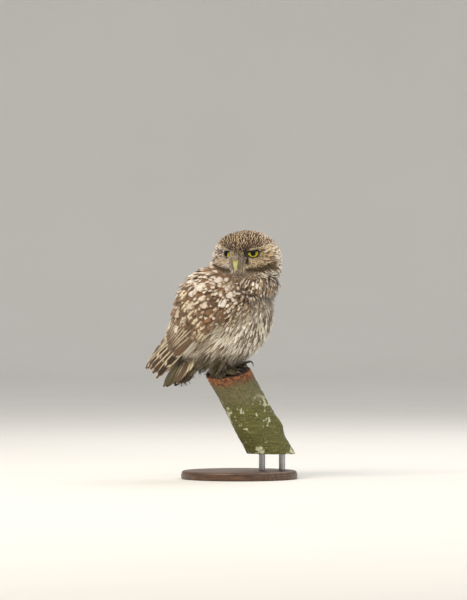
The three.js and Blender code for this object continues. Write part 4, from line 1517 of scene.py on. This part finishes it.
@dataclass(frozen=True)
class Tier:
    """A row of wing feathers, its first and last roots and tips as [distance, turn]."""

    cut: Cut
    count: int
    roots: tuple[tuple[float, float], tuple[float, float]]
    tips: tuple[tuple[float, float], tuple[float, float]]
    lifts: tuple[float, float]
    width: float
    ground: Tone
    mark: Tone
    style: tuple[float, float, float, float]
    other: Tone


TIERS = (
    Tier(FLIGHT, 13, ((8, 40), (12, 100)), ((62, 36), (70, 108)), (-3.4, 0.0), 10.5, Tone.DARK,
         Tone.CREAM, (0, 0, 0.32, 0.22), Tone.BROWN),
    Tier(FLIGHT, 4, ((4, 22), (5, 36)), ((56, 15), (64, 30)), (-3.2, 0.8), 13, Tone.BROWN,
         Tone.CREAM, (0.55, 0, 0.4, 0.22), Tone.DARK),
    Tier(COVERT, 10, ((-14, 44), (-12, 96)), ((24, 42), (28, 100)), (-3.2, 1.0), 11, Tone.BROWN,
         Tone.CREAM, (0.35, 0, 0, 0.2), Tone.DARK),
    Tier(COVERT, 5, ((-8, 90), (-10, 99)), ((40, 100), (32, 112)), (-3.0, 0.8), 8, Tone.DARK,
         Tone.CREAM, (0.3, 0, 0, 0.35), Tone.BROWN),
    Tier(COVERT, 3, ((-32, 90), (-33, 97)), ((4, 98), (-2, 107)), (-3.0, 1.0), 7, Tone.DARK,
         Tone.BUFF, (0, 0, 0, 0.3), Tone.BROWN),
)
PRIMARIES = Tier(FLIGHT, 10, ((34, 38), (34, 100)), ((80, 26), (99, 124)), (-4.0, -0.6), 9.5,
                 Tone.DARK, Tone.CREAM, (0, 0, 0.46, 0.3), Tone.LORE)


@dataclass
class Wing:
    """A closed wing: flight feathers, coverts and scapulars in overlapping tiers."""

    ground: Ground
    coat: Coat
    side: int
    seed: int = 30

    reach: ClassVar[Profile] = Profile(
        (0, 80), (3, 97), (5, 107), (6, 105), (7, 102), (8, 101), (9, 99))
    tip_turn: ClassVar[Profile] = Profile(
        (0, 26), (3, 42), (5, 60), (6, 74), (7, 92), (8, 112), (9, 124))
    droop: ClassVar[Profile] = Profile((0, 0), (6, 0), (7, 1), (8, 6), (9, 15))

    def line(self, start: Array, end: Array, lifts: tuple[float, float],
             droop: Array) -> tuple[Array, Array]:
        """Middle lines over the wing's form from root to tip places [distance, turn]."""
        t = np.linspace(0, 1, 8)
        at = start[:, None] + (end - start)[:, None] * t[None, :, None]
        lift = lifts[0] + (lifts[1] - lifts[0]) * t + droop[:, None] * t**3
        line = BODY.on_wing(at[..., 0], at[..., 1], lift, self.side)
        above = BODY.on_wing(at[..., 0], at[..., 1], lift + 1, self.side)
        return line, unit(above - line)

    def row(self, tier: Tier, rng: Draw) -> Vanes:
        """One tier of feathers, varied a little."""
        share = np.linspace(0, 1, tier.count)
        root, tip = (blend(np.array(first, float), np.array(last, float), share)
                     for first, last in (tier.roots, tier.tips))
        tip[:, 0] += rng.normal(0, 1.2, tier.count)
        tip[:, 1] += rng.normal(0, 0.8, tier.count)
        line, out = self.line(root, tip, tier.lifts, np.zeros(tier.count))
        line = line + out * rng.normal(0, 0.12, tier.count)[:, None, None]
        return self.vanes(tier, line, out, rng)

    def vanes(self, look: Tier, line: Array, out: Array, rng: Draw) -> Vanes:
        """A batch with each feather rolled a little, so that one edge lies over its neighbour."""
        count, roll = look.count, 0.1 * self.side
        out = unit(out + roll * np.cross(unit(np.gradient(line, axis=1)), out))
        tone = 1 + 0.07 * rng.standard_normal((count, 1))
        base = look.ground.to(look.other, rng.random(count) * 0.8)
        styles = np.array(look.style) * (1 + 0.15 * rng.standard_normal((count, 4)))
        return Vanes(look.cut, line, out, np.full(count, look.width), base * tone,
                     np.tile(look.mark.rgb, (count, 1)), styles, Coat.unwrapped(line[:, 2]))

    def primaries(self, rng: Draw) -> Vanes:
        """The ten long feathers of the wing's tip."""
        i = np.arange(10)
        roots = np.stack([np.full(10, 34.0), 38 + 62 * i / 9], axis=1)
        tips = np.stack([self.reach(i), self.tip_turn(i)], axis=1)
        line, out = self.line(roots, tips, PRIMARIES.lifts, self.droop(i))
        return self.vanes(PRIMARIES, line, out, rng)

    def spot_feathers(self, rng: Draw) -> Vanes:
        """Covert feathers whose tips carry the large pale marks."""
        roots, sizes = [], []
        for spot in SPOTS:
            seen = self.ground.seen(spot.across, spot.height)
            if seen is not None and (self.side < 0 or spot.height < 104):
                seen = seen * np.array([1, -self.side if seen[1] < 0 else self.side, 1])
                seen[1] = abs(seen[1]) * self.side
                roots.append(seen)
                sizes.append(spot.size * 1.12)
        seen, size = np.array(roots), np.array(sizes)
        width, length = size * 1.5 + 2.5, size * 2.0 + 7
        at, out = self.ground.nearest(seen)
        lie = flattened(self.coat.markings.flow(at), out)
        root, way = self.ground.nearest(at - lie * (length * 0.76)[:, None])
        line, ways = self.coat.lines(root, way, length, np.full(len(size), 5.4),
                                     np.full(len(size), 0.5))
        count = len(size)
        style = np.zeros((count, 4))
        style[:, 0] = 1.05 * size / width + rng.normal(0, 0.03, count)
        base = Tone.BROWN.to(Tone.RUFOUS, rng.random(count) * 0.6)
        mark = Tone.SPOT.to(Tone.BUFF, 0.6 * rng.random(count) * (size < 7.5))
        return Vanes(COVERT, line, ways, width, base, mark, style, Coat.unwrapped(root))

    def build(self, finish: Material) -> None:
        """Makes the wing's feathers as one piece."""
        rng = np.random.default_rng(self.seed)
        rows = [self.primaries(rng), *(self.row(tier, rng) for tier in TIERS),
                self.spot_feathers(rng)]
        name = SIDES[self.side]
        ready(coat_piece("wing_feathers_" + name, rows, self.seed), finish, "plumage_brown",
              "wing_" + name)


@dataclass
class Tail:
    """The tail: twelve feathers stacked like a closed fan, with coverts over and under them."""

    length: float = 78.0
    seed: int = 51

    def line(self, start: float, length: float, spread: tuple[float, float],
             fall: tuple[float, float], roll: float = 0.0) -> tuple[Array, Array]:
        """One middle line and its ways out."""
        above = np.array([-math.sin(TAIL_DROP), 0, math.cos(TAIL_DROP)])
        t = np.linspace(0, 1, 8)[:, None]
        at = TAIL_ROOT + TAIL_ALONG * (start + t * length)
        at = at - above * (fall[0] + (fall[1] - fall[0]) * t)
        at[:, 1] += (spread[0] + (spread[1] - spread[0]) * t)[:, 0]
        return at, np.tile(above * math.cos(roll) + LEFT * math.sin(roll), (8, 1))

    def batch(self, cut: Cut, lines: Sequence[tuple[Array, Array]], width: float,
              grounds: Array, mark: Tone, style: Sequence[float]) -> Vanes:
        """A batch from its lines."""
        line = np.stack([one for one, _ in lines])
        out = np.stack([way for _, way in lines])
        count = len(lines)
        return Vanes(cut, line, out, np.full(count, width), grounds,
                     np.tile(mark.rgb, (count, 1)), np.tile(np.array(style, float), (count, 1)),
                     Coat.unwrapped(line[:, 2]))

    def build(self, finish: Material) -> None:
        """Makes the tail's feathers as one piece."""
        rng = np.random.default_rng(self.seed)
        main, top, under, shades = [], [], [], []
        for side in SIDES:
            for i in range(6):
                share = i / 5
                spread = (side * (1.2 + 3 * share), side * (2 + 13 * share))
                fall = (1.3 * i + 0.4 * (side > 0), 1.3 * i + 9 * share**1.3 + 0.4 * (side > 0))
                far = self.length * (1 - 0.22 * share**2) * (1.0 if i % 2 else 0.94)
                main.append(self.line(0, far, spread, fall, side * (0.9 + 0.3 * share)))
                shades.append([Tone.DARK, Tone.SLATE, Tone.SLATE, Tone.OLIVE, Tone.SLATE,
                               Tone.DARK][i].rgb)
            for i in range(5):
                top.append(self.line(8, 34 - 4 * i, (side * (1 + 3 * i), side * (2 + 5 * i)),
                                     (0.5, -1.6 + 1.6 * i), side * 0.2 * i))
            for i in range(9):
                under.append(self.line(12, 54 - 3.6 * i, (side * 1.6 * i, side * (3 + 1.9 * i)),
                                       (9.0, 13 + 1.0 * i + rng.normal(0, 0.5)), side * 1.1))
        pale = np.tile(Tone.TAIL_PALE.rgb * 1.25, (len(under), 1))
        parts = [
            self.batch(FLIGHT, main, 10, np.array(shades), Tone.BROW, (0, 0, 0.25, 0.3)),
            self.batch(COVERT, top, 11, np.tile(Tone.BROWN.rgb, (len(top), 1)), Tone.SPOT,
                       (0.5, 0, 0, 0)),
            self.batch(DOWNY, under, 11, pale, Tone.BELLY, (0, 0.2, 0, 0.3)),
        ]
        ready(coat_piece("tail_feathers", parts, self.seed), finish, "plumage_brown", "tail")


# ---- eyes, bill, feet ---------------------------------------------------------------------------


@dataclass
class Eye:
    """One eye and the dark rim of its lids."""

    side: int
    around: int = 64
    along: int = 48

    def ball(self) -> Object:
        """The eyeball, a little flatter behind and domed over the iris."""
        a, b = np.meshgrid(np.linspace(0.001, math.pi - 0.001, self.along), circle(self.around),
                           indexing="ij")
        way = np.stack([np.cos(a), np.sin(a) * np.cos(b), np.sin(a) * np.sin(b)], axis=-1)
        reach = EYES.radius - 0.25 + 0.25 * hump(a, 0, 0.6)
        points = (way * reach[..., None]).reshape(-1, 3)
        placed = HEAD.placed(points @ EYES.spin(self.side).T + EYES.centre(self.side))
        faces = [f[::-1] for f in ring_faces(self.along, self.around)]
        made = mesh_object("eye_ball_" + SIDES[self.side], placed, faces)
        attribute(made, "away", (a / math.radians(54)).ravel())
        # Height in the eye, read by the iris's painted brow shade.
        attribute(made, "high", way[..., 2].ravel())
        return made

    def rim(self) -> Object:
        """The bare dark rim round the window between the lids."""
        turn, ring = circle(96), circle(12)
        inner, outer = EYES.ends(self.side)
        y = self.side * ((outer + inner) / 2 + (outer - inner) / 2 * np.cos(turn))
        z = np.where(np.sin(turn) > 0, EYES.window, -EYES.lower) * np.sin(turn)
        top = EYES.upper + self.side * y * math.tan(EYES.slant)
        z = np.minimum(z, top)
        x = np.sqrt(np.maximum((EYES.radius + 0.35)**2 - y**2 - z**2, 1))
        loop = np.stack([x, y, z], axis=1)
        out = unit(loop)
        side = np.cross(unit(np.roll(loop, -1, axis=0) - np.roll(loop, 1, axis=0)), out)
        size = 0.38 + 0.62 * ease(z - (top - 1.2), 0, 1)
        points = (loop[:, None] + out[:, None] * (np.sin(ring) * 0.55)[None, :, None]
                  + side[:, None] * (size[:, None] * np.cos(ring))[..., None])
        points = points.reshape(-1, 3)
        faces = [tuple(i % len(points) for i in f) for f in ring_faces(len(turn) + 1, len(ring))]
        placed = HEAD.placed(points @ EYES.spin(self.side).T + EYES.centre(self.side))
        return mesh_object("eye_rim_" + SIDES[self.side], placed, faces)

    def build(self, wet: Material, dark: Material) -> None:
        """Makes and dresses both pieces."""
        ready(self.ball(), wet, "eye", "eye_" + SIDES[self.side])
        ready(self.rim(), dark, "claw")


@dataclass
class Bill:
    """The hooked bill in two halves, with the soft cere over its root and bristles beside it."""

    def half(self, name: str, points: Sequence, size: Map, ridge: float) -> Object:
        """One half, its front drawn to a ridge."""
        t = np.linspace(0, 1, 60)
        curve = through(points, t)
        placed, faces = tube(curve, size(t), LEFT, 40)
        middle = np.repeat(curve, 40, axis=0)
        local = placed - middle
        local[:, 1] *= np.clip(1 - ridge * np.clip(local[:, 0], 0, None) / 6, 0.3, 1)
        made = mesh_object(name, HEAD.placed(middle + local), faces)
        attribute(made, "along", np.repeat(t, 40))
        return made

    def bristles(self, finish: Material) -> None:
        """The fine bristly feathers that sweep forward along both sides of the bill."""
        rng = np.random.default_rng(77)
        lines, outs = [], []
        for side in SIDES:
            for _ in range(190):
                up, out = rng.uniform(-5.5, 6.0), max(rng.uniform(0.3, 6.5), 3.2)
                start = np.array([31.4 - 0.35 * (out - 3.2) - 0.02 * up * up, side * out, up])
                end = start + [rng.uniform(2.6, 4.2), side * rng.uniform(-1.0, 0.8),
                               -rng.uniform(2.5, 5.0)]
                middle = (start + end) / 2 + [0.9, side * 0.5, 0.6]
                lines.append(HEAD.placed(np.array([start, middle, end])))
                outs.append(np.tile(HEAD.spin @ unit(np.array([0.7, side * 0.6, 0.2])), (3, 1)))
        for _ in range(110):
            y = rng.uniform(-2.9, 2.9)
            start = np.array([33.6 + rng.uniform(0, 0.6) - 0.1 * y * y, y, rng.uniform(4.5, 8.5)])
            end = np.array([39.0 - 0.22 * y * y, 1.15 * y, rng.uniform(2.0, 4.6)])
            middle = start * 0.45 + end * 0.55 + np.array([1.2, 0, 0.8])
            lines.append(HEAD.placed(np.array([start, middle, end])))
            outs.append(np.tile(HEAD.spin @ unit(np.array([0.8, 0.15 * y, 0.5])), (3, 1)))
        count = len(lines)
        ground = (Tone.HAIR.to(Tone.BROW, rng.random(count) * 0.6)
                  * (0.5 + 0.75 * rng.random((count, 1))))
        line = np.stack(lines)
        batch = Vanes(FACE, line, np.stack(outs), np.full(count, 0.7), ground, ground,
                      np.zeros((count, 4)), Coat.unwrapped(line[:, 0]))
        ready(coat_piece("bristles", [batch], 78), finish, "plumage_brown")

    def build(self, horn: Material, soft: Material, dark: Material) -> None:
        """Makes and dresses the bill."""
        upper = self.half(
            "bill_upper_horn",
            [(27, 0, 6.5), (33.6, 0, 3.9), (36.4, 0, -2.2), (36.1, 0, -6.4), (34.9, 0, -9.6)],
            lambda t: np.stack([3.2 * (1 - 0.8 * t**1.6) * rounded(t, 12),
                                3.8 * (1 - 0.86 * t**1.6) * rounded(t, 12)], axis=1), 0.5)
        lower = self.half(
            "bill_lower_horn", [(27, 0, -4), (32.2, 0, -5.6), (34.2, 0, -7.4)],
            lambda t: np.stack([2.8 * (1 - 0.6 * t) * rounded(t, 10),
                                2.2 * (1 - 0.6 * t) * rounded(t, 10)], axis=1), 0.0)
        ready(upper, horn, "bill", "bill_upper")
        ready(lower, horn, "bill", "bill_lower")
        t = np.linspace(0, 1, 30)
        size = rounded(t, 8)
        curve = through([(26, 0, 6.3), (32.6, 0, 5.5), (35.1, 0, 3.4), (35.7, 0, 2.1)], t)
        points, faces = tube(curve, np.stack([3.5 * size, 2.7 * size], axis=1), LEFT, 32)
        ready(mesh_object("cere", HEAD.placed(points), faces), soft, "bill")
        # Nostrils: small sunken funnels in the near-black lid-rim finish, painted shade inside the
        # openings.
        for side in SIDES:
            turn = circle(20)
            rings = [np.stack([np.full(20, 35.9 + deep), side * 3.0 + 1.05 * size * np.cos(turn),
                               3.7 + 0.8 * size * np.sin(turn)], axis=1)
                     for size, deep in ((1.0, 0.1), (0.62, -0.05), (0.3, -0.45))]
            ready(mesh_object("nostril_" + SIDES[side], HEAD.placed(np.concatenate(rings)),
                              [*ring_faces(3, 20), tuple(range(40, 60))]), dark, "bill")


@dataclass
class Foot:
    """One foot: four toes with scaled skin and short bristles, and their claws."""

    side: int
    radius: float = 2.9

    toes: ClassVar[list[tuple[str, float, float]]] = [
        ("inner", -12, 17), ("middle", 16, 20), ("outer", 72, 15), ("hind", -168, 13)]

    def way(self, heading: float) -> tuple[Array, Callable[[float, float], Array]]:
        """A toe's direction and a function that gives places along it over the sawn face."""
        angle = math.radians(heading) * self.side
        go = np.array([math.cos(angle), math.sin(angle), 0])
        foot = np.array([FOOT_X, self.side * FOOT_OUT, 0])

        def at(distance: float, height: float) -> Array:
            """A place so far along the toe and so high over the wood."""
            place = foot + go * distance
            place[2] = sawn_height(place[0], place[1]) + height
            return place

        return go, at

    def build(self, flesh: Material, horn: Material, finish: Material) -> None:
        """Makes and dresses toes, claws and bristles."""
        name, r = SIDES[self.side], self.radius
        parts, lines, outs = [], [], []
        rng = np.random.default_rng(70 + self.side)
        for toe, heading, length in self.toes:
            go, at = self.way(heading)
            t = np.linspace(0, 1, 26)
            curve = through([at(-1, r + 2.6), at(length * 0.35, r + 1.5), at(length * 0.7, r + 0.6),
                             at(length, r + 0.3)], t)
            knuckle = 1 + 0.09 * np.cos(t * 6 * math.pi)
            size = r * (1.08 - 0.25 * t) * knuckle * rounded(t, 9)
            parts.append(tube(curve, np.stack([size, size], axis=1), UP, 20))
            tip = at(length + 7, 0)
            over = math.hypot(tip[0], tip[1]) > RIM_REACH
            t = np.linspace(0, 1, 24)
            curve = through([at(length - 1, r + 0.9), at(length + 3.2, r + 1.5),
                             at(length + 6, r - 0.5 if over else r + 0.3),
                             at(length + 7.1, -2.4 if over else 1.3)], t)
            size = 1.45 * (1 - 0.86 * t) * rounded(t, 16)
            points, faces = tube(curve, np.stack([size * 0.9, size * 1.1], axis=1), UP, 16)
            claw = mesh_object(f"claw_horn_{name}_{toe}", points, faces)
            attribute(claw, "along", np.repeat(t, 16))
            ready(claw, horn, "claw", f"claw_{name}_{toe}")
            across = np.cross(UP, go)
            for _ in range(70):
                far, lean = rng.uniform(0, length - 3), rng.uniform(-1.1, 1.1)
                out = unit(across * math.sin(lean) + UP * math.cos(lean))
                start = at(far, r + 2.2 - 1.6 * far / length) + out * r * 0.75
                steps = np.linspace(0, 1, 4)[:, None]
                lines.append(start + (go * 4.5 + out * 0.7) * steps)
                outs.append(np.tile(out, (4, 1)))
        ready(mesh_object("toes_" + name, *joined(parts)), flesh, "foot", "foot_" + name)
        count = len(lines)
        line = np.stack(lines)
        # Toe bristles in dark olive, darkened as painted shade under the belly.
        ground = Tone.OLIVE.rgb * (0.8 + 1.2 * rng.random((count, 1)))
        batch = Vanes(FACE, line, np.stack(outs), np.full(count, 1.5), ground, ground * 1.1,
                      np.zeros((count, 4)), Coat.unwrapped(line[:, 0]))
        ready(coat_piece("toe_bristles_" + name, [batch], 72), finish, "foot")


# ---- branch and stand ---------------------------------------------------------------------------


@dataclass
class Branch:
    """The sawn length of branch."""

    radius: float = 23.5
    bottom: float = -88.0
    around: int = 220
    along: int = 190
    lean: ClassVar[Array] = np.array([0.441, 0.161, -0.883])

    def build(self, bark: Material) -> None:
        """Makes the branch with its uneven bark, knot and sawn face."""
        axis = unit(self.lean)
        spin = np.array(Vector((0, -1, 0)).rotation_difference(Vector(axis)).to_matrix())
        turn = circle(self.around)
        radial = np.stack([np.cos(turn), 0 * turn, np.sin(turn)], axis=1) @ spin.T
        start = np.array([-0.9, 0, 0])
        edge = start + radial * self.radius
        top = (SAWN_RISE * SAWN_NORMAL[2] - edge @ SAWN_NORMAL) / (axis @ SAWN_NORMAL)
        low = (self.bottom - edge[:, 2]) / axis[2]
        share = np.linspace(0, 1, self.along) ** 1.15
        far = top[None] + (low - top)[None] * share[:, None]
        y = 50 - far
        angle = np.broadcast_to(turn, far.shape)
        swing = np.arctan2(np.sin(angle - 0.35), np.cos(angle - 0.35))
        knot = 0.14 * hump(y, -25, 10) * hump(swing, 0, 0.4)
        swell = 1 + 0.018 * np.sin(3 * angle + y * 0.05) + 0.012 * np.sin(y * 0.11 + 2) + knot
        base = start + axis * far[..., None] + radial * (self.radius * swell)[..., None]
        flat = base.reshape(-1, 3)
        rough = bumpy(flat, 9.0, 4) * 0.45 + bumpy(flat * np.array([1, 1, 3.0]), 5.0, 2) * 0.25
        warts = np.clip(bumpy(flat + 40, 4.0, 2) - 0.42, 0, 1) * 1.6
        down = (far - top[None]).ravel()
        fade = ease(down, 0, 2)
        chip = np.clip(bumpy(flat + 90, 7.0, 2), 0, 1) * fall(down, 0, 6) * 1.1
        rise = (rough + warts) * fade - chip - 0.35
        points = base + radial[None] * rise.reshape(far.shape)[..., None]
        rim = points[0] = points[0] - UP * 0.25
        centre, caps = rim.mean(axis=0), []
        shrink = np.linspace(1, 0.02, 46)[1:]
        for k in shrink:
            ring = centre + (rim - centre) * k
            wave = 0.25 * (1 - hump((1 - k) / 0.05))
            saw = 0.12 * np.sin(ring @ np.array([1.4, 2.1, 0]) * 1.3) + 0.25 * bumpy(ring, 3.0, 2)
            caps.append(ring + SAWN_NORMAL * (wave * 0.4 + saw * 0.5)[:, None])
        cap, count = np.concatenate(caps), self.around
        low_end, high_end = self.along * count, (self.along + len(shrink)) * count
        over = [f[:2] + tuple(i + low_end - count for i in f[2:]) for f in ring_faces(2, count)]
        faces = [*(f[::-1] for f in ring_faces(self.along, count)), *over,
                 *(tuple(i + low_end for i in f) for f in ring_faces(len(shrink), count)),
                 tuple(range(high_end - count, high_end)),
                 tuple(range(low_end - count, low_end))[::-1]]
        made = mesh_object("branch", np.concatenate([points.reshape(-1, 3), cap]), faces)
        bare = np.zeros(low_end)
        attribute(made, "cut", np.concatenate([bare, np.ones(len(cap))]))
        attribute(made, "down", np.concatenate([down, np.zeros(len(cap))]))
        attribute(made, "ring", np.concatenate([bare, np.repeat(shrink * self.radius, count)]))
        ready(made, bark, "bark", "perch")


@dataclass
class Stand:
    """The stand: a round wooden base and two steel rods."""

    def lathe(self, name: str, outline: Sequence[tuple[float, float]], x: float, y: float,
              around: int) -> Object:
        """A turned piece from [radius, height] pairs."""
        turn = circle(around)
        rows = [np.stack([x + r * np.cos(turn), y + r * np.sin(turn), np.full(around, z)], axis=1)
                for r, z in outline]
        made = mesh_object(name, np.concatenate(rows), barrel_faces(len(rows), around))
        made.data.set_sharp_from_angle(angle=math.radians(40))
        return made

    def build(self, wood: Material, metal: Material) -> None:
        """Makes and dresses base and rods."""
        low, high = (millimetres(v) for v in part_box("stand_base"))
        radius, floor, top = (high[0] - low[0]) / 2, low[2], high[2]
        x, y = (low[0] + high[0]) / 2, (low[1] + high[1]) / 2
        bead = [(radius - 2.6 * (1 - math.cos(a)), top - 2.6 + 2.6 * math.sin(a))
                for a in np.linspace(0, math.pi / 2, 10)]
        outline = [(radius - 30, floor), (radius - 1.2, floor), (radius - 0.4, floor + 0.4),
                   (radius, floor + 1.4), (radius, top - 3.6), (radius - 0.7, top - 3.2),
                   *[(r - 0.7, z) for r, z in bead], (radius - 9, top), (radius - 30, top),
                   (2, top)]
        base = self.lathe("base_turned", outline, x, y, 160)
        ready(base, wood, "base_wood", "stand_base")
        for k in (1, 2):
            low, high = (millimetres(v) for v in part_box(f"stand_rod_{k}"))
            r = (high[0] - low[0]) / 2
            outline = [(0.2, low[2]), (r - 0.5, low[2]), (r, low[2] + 0.5),
                       *[(r, low[2] + 0.5 + (high[2] - low[2] - 1) * i / 6) for i in range(7)],
                       (r - 0.5, high[2]), (0.2, high[2])]
            x, y = (low[0] + high[0]) / 2, (low[1] + high[1]) / 2
            ready(self.lathe(f"rod_{k}", outline, x, y, 48), metal, "steel", f"stand_rod_{k}")


# ---- studio -------------------------------------------------------------------------------------


@dataclass
class Studio:
    """Floor, lights and camera."""

    distance: float = 4.0
    frame_height: float = 0.66
    aim_right: float = 4.4
    aim_up: float = 80.9
    lit_up: float = 60.0
    flat: float = 5.0
    sweep: float = 1.6

    def light(self, name: str, place: Sequence[float], aim: Sequence[float], power: float,
              size: float, colour: str) -> None:
        """A square soft light."""
        lamp = bpy.data.lights.new(name, "AREA")
        lamp.energy, lamp.size, lamp.color = power, size, tint(colour)
        made = linked(name, lamp)
        made.location = place
        way = Vector(aim) - Vector(place)
        made.rotation_euler = way.to_track_quat("-Z", "Y").to_euler()

    def floor(self) -> None:
        """A pale round floor whose far rim sweeps up all round, wider than the camera stands."""
        profile = [(0.02, 0.0), (1.0, 0.0), (3.0, 0.0), (self.flat, 0.0)]
        profile += [(self.flat + self.sweep * math.sin(a), self.sweep * (1 - math.cos(a)))
                    for a in np.linspace(0, math.pi / 2, 16)[1:]]
        profile.append((self.flat + self.sweep, 4.5))
        turn = circle(96)
        rows = [np.stack([r * np.cos(turn), r * np.sin(turn), np.full(96, z)], axis=1)
                for r, z in profile]
        faces = [f[::-1] for f in ring_faces(len(rows), 96)] + [tuple(range(96))]
        mesh = bpy.data.meshes.new("studio_floor")
        mesh.from_pydata(np.concatenate(rows).tolist(), [], faces)
        mesh.polygons.foreach_set("use_smooth", [True] * len(mesh.polygons))
        made = linked("studio_floor", mesh)
        mesh.materials.append(StudioFinish().material())

    def build(self) -> None:
        """Sets up the whole studio."""
        scene = bpy.context.scene
        self.floor()
        centre = settle(PICTURE_RIGHT * self.aim_right + UP * self.aim_up)
        lens = bpy.data.cameras.new("camera")
        lens.sensor_width = 36.0
        lens.lens = 36.0 * self.distance / self.frame_height
        lens.clip_end = 50.0
        camera = linked("camera", lens)
        camera.location = centre + PICTURE_NEAR * self.distance
        camera.rotation_euler = (math.pi / 2, 0, VIEW_TURN)
        scene.camera = camera
        aim = settle(UP * self.lit_up)
        for name, near, right, up, power, size, colour in (
                ("key", 1.0, -0.9, 1.5, 31, 1.1, "fff3e0"),
                ("fill", 1.2, 1.4, 0.5, 8, 1.8, "f2f6ff"),
                ("back", -0.9, 0.5, 1.3, 12, 1.2, "ffffff")):
            place = aim + PICTURE_NEAR * near + PICTURE_RIGHT * right + UP * up
            self.light(name, place, aim, power, size, colour)
        world = bpy.data.worlds.new("soft")
        world.use_nodes = True
        sky = world.node_tree.nodes["Background"].inputs
        sky[0].default_value, sky[1].default_value = (0.96, 0.96, 0.98, 1), 0.8
        scene.world = world
        scene.view_settings.view_transform = "Standard"


# ---- putting it together ------------------------------------------------------------------------


class Owl:
    """The bird: skin, coat, wings, tail, eyes, bill and feet."""

    def __init__(self) -> None:
        """Makes the finishes that its pieces share."""
        self.plumage = Plumage("plumage").material()
        self.flight = Plumage("flight_feathers", 0.6, 140.0, 0.5).material()

    def build(self) -> None:
        """Builds the bird."""
        skin = Skin().build()
        ground, markings = Ground(skin), Markings(5)
        dress = markings.dress(ground.points)
        attribute(skin, "ground", dress.ground)
        attribute(skin, "shade", dress.ground * 0.45)
        ready(skin, SkinFinish().material(), "plumage_pale", "torso", "neck", "head")
        coat = Coat(ground, markings)
        coat.build(self.plumage)
        for side in SIDES:
            Wing(ground, coat, side, 30 + side).build(self.flight)
        Tail().build(self.flight)
        # Near-black lid rims, also used for the painted shade inside the nostrils.
        dark = FleshFinish("lid_rim_and_nostril_shade", "0d0a08", "19130f", 900, 0.5).material()
        wet = EyeFinish().material()
        for side in SIDES:
            Eye(side).build(wet, dark)
        horn = HornFinish("bill_horn", "7d7162", "b2ad5c", "cbc78c").material()
        soft = FleshFinish("cere_skin", "86786a", "6f6357", 900, 0.5).material()
        bill = Bill()
        bill.build(horn, soft, dark)
        bill.bristles(self.plumage)
        # Toe skin darkened as painted shade under the belly feathers.
        flesh = FleshFinish("toe_skin_painted_shade", "4a4230", "685c44", 800, 0.6).material()
        black = HornFinish("claw_horn", "3f362e", "332b26", "15110f", 0.28, 0.5).material()
        for side in SIDES:
            Foot(side).build(flesh, black, self.plumage)


def main() -> None:
    """Builds the owl, its perch and stand, and the studio."""
    logging.basicConfig(level=logging.INFO, format="%(message)s")
    Studio().build()
    Owl().build()
    Branch().build(BarkFinish().material())
    Stand().build(WoodFinish().material(), SteelFinish().material())
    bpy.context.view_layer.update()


if __name__ == "__main__":
    main()
